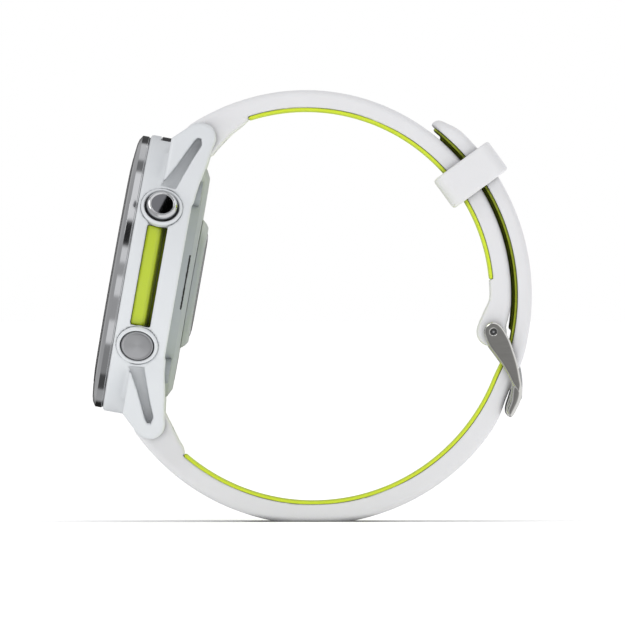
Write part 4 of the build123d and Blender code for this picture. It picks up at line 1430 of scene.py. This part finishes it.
def bar_outline():
    """Section of the far bar, which the tang's tip rests on."""
    points = [
        (32.3, 18.2), (32.8, 17.7), (34.2, 19.8), (34.75, 21.9), (34.4, 22.8), (33.75, 22.65), (32.75, 20.7),
    ]
    return eased(points + points[:1], (0.2, -1), (0.2, -1), 5)[:-1]


def tang_outline():
    """Side outline of the tang, from its barrel round the pin to its tip."""
    back = [(33.2, 29.5), (34.6, 26.4), (35.1, 23.6), (35.05, 20.7)]
    front = [(34.1, 20.7), (34.1, 23.4), (33.6, 26.0), (32.2, 28.5)]
    tip = [(34.9, 20.3), (34.57, 20.18), (34.25, 20.3)]
    outer = eased([polar(PIN_BUCKLE, BARREL, 40)] + back, heading(220), (0, -1))
    inner = eased(front + [polar(PIN_BUCKLE, BARREL, -100)], (0, 1), heading(80))
    return outer + tip + inner + arc(PIN_BUCKLE, BARREL, 260, 40)[1:-1]


class WATCH_OT_buckle(Operator):
    """Form the buckle's frame, its tang and the pin that both turn on"""

    bl_idname = "watch.buckle"
    bl_label = "Buckle"

    def execute(self, context):
        outlines = (arm_outline, bar_outline, bar_end_outline, tang_outline)
        arms, bar, bar_end, tang = (flat_field(outline()) for outline in outlines)

        def arm_field(points):
            u, v, w = points.T
            w = np.abs(w)
            eye = np.hypot(u - PIN_BUCKLE[0], v - PIN_BUCKLE[1])
            arm = both(arms(u, v), slab(w, 10.5, 12.25), 0.42)
            end = both(bar_end(u, v), slab(w, 10.5, 12.1), 0.78)
            return without(np.minimum(arm, end), eye - 0.58, 0.06)

        def bar_field(points):
            u, v, w = points.T
            side = np.abs(w)
            across = both(bar(u, v), side - 10.7, 0.2)
            seat = np.maximum(np.maximum(33.95 - u, slab(v, 19.2, 24.0)), side - 1.15)
            return without(across, seat, 0.15)

        cell = (0.15, 0.15, 0.16)
        for name, low, high in (("front", 10.2, 12.5), ("rear", -12.5, -10.2)):
            reach = (27.9, 16.9, low), (35.6, 34.0, high)
            made = carved(f"buckle_arm_{name}", arm_field, *reach, cell, by_matrix(SIDE_VIEW))
            fit_piece(made, "buckle", "buckle_steel", "buckle_steel", "buckle_frame")
        reach = (31.6, 17.0, -11), (35.4, 23.4, 11)
        made = carved("buckle_bar", bar_field, *reach, (0.2, 0.2, 0.35), by_matrix(SIDE_VIEW))
        fit_piece(made, "buckle", "buckle_steel", "buckle_steel", "buckle_frame")

        def tang_field(points):
            u, v, w = points.T
            eye = np.hypot(u - PIN_BUCKLE[0], v - PIN_BUCKLE[1])
            prong = both(tang(u, v), np.abs(w) - 0.85, 0.25)
            barrel = both(eye - BARREL, np.abs(w) - 1.55, 0.15)
            return without(either(prong, barrel, 0.15), eye - 0.8, 0.05)

        made = carved("tang", tang_field, (28.4, 19.8, -1.8), (35.5, 33.4, 1.8), 0.16, by_matrix(SIDE_VIEW))
        fit_piece(made, "tang", "buckle_steel", "pin_steel", "buckle_tang")
        end = [(0.74, 10.4), (0.74, 10.6), (0.56, 10.62), (0.56, 12.12), (0.53, 12.18), (0.5, 12.1), (0.5, 11.5)]
        end += [(0.23, 11.5), (0.22, 12.1), (0.17, 12.16), (0, 12.18)]
        pin = [(radius, -height) for radius, height in end[::-1]] + end
        place = axes_at(BUCKLE_PIN, Vector((1, 0, 0)), Vector((0, 0, 1)), Vector((0, -1, 0)))
        turned_piece("pin", pin, place, "upper_strap", "pin_steel", "pin_steel", ["buckle_pin"], 0.03, 48)
        return {"FINISHED"}


# ------------------------------------------------------------------ the pieces kept from the frame
class WATCH_OT_finishes(Operator):
    """Give every piece kept from the frame its finish"""

    bl_idname = "watch.finishes"
    bl_label = "Finishes"

    def execute(self, context):
        for part in frame["record"]["subparts"]:
            node = frame["nodes"][part["node"]]
            node.data.materials.clear()
            node.data.materials.append(material(part["material_slot"]))
        return {"FINISHED"}


# ------------------------------------------------------------------ the stage
CAMERA_PLACE = Vector((0, -3, 0.0349))
# (first angle, last angle, brightness) of the panels round the case's axis that polished metal mirrors
PANELS = (
    (-180, -150, 0.02), (-142, -122, 0.5), (-119, -100, 0.1), (-97, -66, 0.35), (-63, -44, 1.0), (-41, -22, 0.5),
    (-20, -5, 1.0), (-3, 6, 0.5), (9, 20, 1.0), (23, 42, 0.03), (46, 92, 1.1), (96, 108, 0.25), (112, 138, 0.8),
    (143, 180, 0.08),
)


def studio_world():
    """An even white room, in which polished metal mirrors a row of bright panels with dark gaps."""
    world = bpy.data.worlds.new("studio")
    world.use_nodes = True
    tree = world.node_tree
    background = tree.nodes["Background"]
    background.inputs["Strength"].default_value = 1.0
    way = add_node(tree, "ShaderNodeTexCoord").outputs["Generated"]
    shares = [
        add_node(tree, "ShaderNodeVectorMath", [(0, way), (1, axis)], operation="DOT_PRODUCT")
        for axis in (THREE, TWELVE, OUTWARD)
    ]
    front, up, out = (share.outputs["Value"] for share in shares)
    angle = add_node(tree, "ShaderNodeMath", [(0, up), (1, front)], operation="ARCTAN2").outputs["Value"]
    share = add_node(tree, "ShaderNodeMapRange", [("Value", angle), ("From Min", -pi), ("From Max", pi)])
    ramp = add_node(tree, "ShaderNodeValToRGB", [("Fac", share.outputs["Result"])])
    stops = [(angle, shade) for start, stop, shade in PANELS for angle in (start, stop)]
    while len(ramp.color_ramp.elements) < len(stops):
        ramp.color_ramp.elements.new(0.5)
    for element, (turn, shade) in zip(ramp.color_ramp.elements, stops):
        element.position = (turn + 180) / 360
        element.color = (shade, shade, shade * 1.01, 1)

    to_front = add_node(tree, "ShaderNodeMapRange", [("Value", out), ("From Min", 0.1), ("From Max", 0.32)])
    to_back = add_node(tree, "ShaderNodeMapRange", [("Value", out), ("From Min", -0.1), ("From Max", -0.3)])
    mirrored = mixed(tree, to_front.outputs["Result"], ramp.outputs["Color"], (0.5, 0.5, 0.505, 1))
    mirrored = mixed(tree, to_back.outputs["Result"], mirrored, (0.95, 0.95, 0.95, 1))
    path = add_node(tree, "ShaderNodeLightPath")
    seen = mixed(tree, path.outputs["Is Glossy Ray"], (0.7, 0.7, 0.705, 1), mirrored)
    shown = mixed(tree, path.outputs["Is Camera Ray"], seen, (1, 1, 1, 1))
    tree.links.new(shown, background.inputs["Color"])
    return world


def button_card(name, colour, angle, height, turn, corners):
    """A small card that only mirrors see, where the flat face of a button reflects the camera."""
    face = cos(radians(angle)) * THREE + sin(radians(angle)) * TWELVE
    seat = BACK + (OUTWARD * BUTTON_HEIGHT + face * height) * MM
    look = (seat - CAMERA_PLACE).normalized()
    back = look - 2 * look.dot(face) * face
    level = Matrix.Rotation(radians(turn), 3, back) @ back.cross(OUTWARD).normalized()
    rise = level.cross(back)
    centre = seat + back * 0.05
    card = new_object(name, [centre + (level * a + rise * b) * MM for a, b in corners], [(0, 1, 2, 3)])
    made, tree, principled = new_material(name, Roughness=1.0, Specular_IOR_Level=0.0)
    principled.inputs["Base Color"].default_value = (0, 0, 0, 1)
    principled.inputs["Emission Color"].default_value = linear(colour)
    principled.inputs["Emission Strength"].default_value = 1.0
    card.data.materials.append(made)
    card.visible_camera = False
    card.visible_diffuse = False
    card.visible_shadow = False


def button_cards():
    """Grey and black halves that the polished start button mirrors side by side."""
    for name, colour, side in (("grey_card", "8A8A8E", 1), ("black_card", "050505", -1)):
        corners = ((-3.3, 0), (3.3, 0), (3.3, 3.3 * side), (-3.3, 3.3 * side))
        button_card(name, colour, BUTTONS["start"], 24.4, -18, corners)


class WATCH_OT_stage(Operator):
    """Lay the floor, hang the lights and set the camera"""

    bl_idname = "watch.stage"
    bl_label = "Stage"

    def execute(self, context):
        scene = context.scene
        reach = 60
        corners = [(x * reach, y * reach, 0) for x, y in ((-1, -1), (1, -1), (1, 1), (-1, 1))]
        floor = new_object("floor", corners, [(0, 1, 2, 3)])
        made, tree, principled = new_material("white_floor", Roughness=0.7, Specular_IOR_Level=0.2)
        principled.inputs["Base Color"].default_value = linear("F4F4F4")
        principled.inputs["Emission Color"].default_value = (1, 1, 1, 1)
        # the floor glows evenly white, and its glow is dimmed where an ambient occlusion node finds the watch
        # close: a painted contact shadow
        clear = add_node(tree, "ShaderNodeAmbientOcclusion", [("Distance", 0.035)], samples=8).outputs["AO"]
        glow = [("Value", clear), ("From Min", 0.5), ("From Max", 0.97), ("To Max", 0.46)]
        glow = add_node(tree, "ShaderNodeMapRange", glow)
        tree.links.new(glow.outputs["Result"], principled.inputs["Emission Strength"])
        floor.data.materials.append(made)
        floor.visible_glossy = False
        scene.world = studio_world()
        self.lamp("key", (-0.5, -0.45, 0.75), 0.45, 1.7)
        self.lamp("rim", (0.5, 0.7, 0.5), 0.4, 0.9)
        button_cards()
        distance = -CAMERA_PLACE.y
        width = 0.10417
        camera = bpy.data.cameras.new("camera")
        camera.sensor_width = 36
        camera.lens = camera.sensor_width * (distance - 0.011) / width
        camera.clip_start, camera.clip_end = 0.01, 200
        placed = bpy.data.objects.new("camera", camera)
        placed.location = CAMERA_PLACE
        placed.rotation_euler = (pi / 2, 0, 0)
        scene.collection.objects.link(placed)
        scene.camera = placed
        scene.view_settings.view_transform = "Standard"
        return {"FINISHED"}

    def lamp(self, name, place, size, power):
        """A square soft box that faces the watch."""
        light = bpy.data.lights.new(name, "AREA")
        light.size = size
        light.energy = power
        placed = bpy.data.objects.new(name, light)
        placed.location = place
        placed.rotation_euler = (Vector((0, 0, 0.035)) - Vector(place)).to_track_quat("-Z", "Y").to_euler()
        bpy.context.scene.collection.objects.link(placed)


STEPS = [
    WATCH_OT_finishes, WATCH_OT_case, WATCH_OT_bezel, WATCH_OT_strip, WATCH_OT_back, WATCH_OT_buttons,
    WATCH_OT_screws, WATCH_OT_face, WATCH_OT_upper_strap, WATCH_OT_lower_strap, WATCH_OT_latches, WATCH_OT_keeper,
    WATCH_OT_buckle, WATCH_OT_stage,
]


class WATCH_PT_panel(Panel):
    """The watch's build steps"""

    bl_label = "Sports Watch"
    bl_idname = "WATCH_PT_panel"
    bl_space_type = "VIEW_3D"
    bl_region_type = "UI"
    bl_category = "Watch"

    def draw(self, context):
        for name in WatchSizes.__annotations__:
            self.layout.prop(context.scene.watch_sizes, name)
        for step in STEPS:
            self.layout.operator(step.bl_idname)


CLASSES = [WatchSizes, *STEPS, WATCH_PT_panel]


def register():
    for made in CLASSES:
        bpy.utils.register_class(made)
    bpy.types.Scene.watch_sizes = PointerProperty(type=WatchSizes)


def unregister():
    del bpy.types.Scene.watch_sizes
    for made in reversed(CLASSES):
        bpy.utils.unregister_class(made)


def main():
    register()
    for step in STEPS:
        family, name = step.bl_idname.split(".")
        getattr(getattr(bpy.ops, family), name)()


if __name__ == "__main__":
    main()
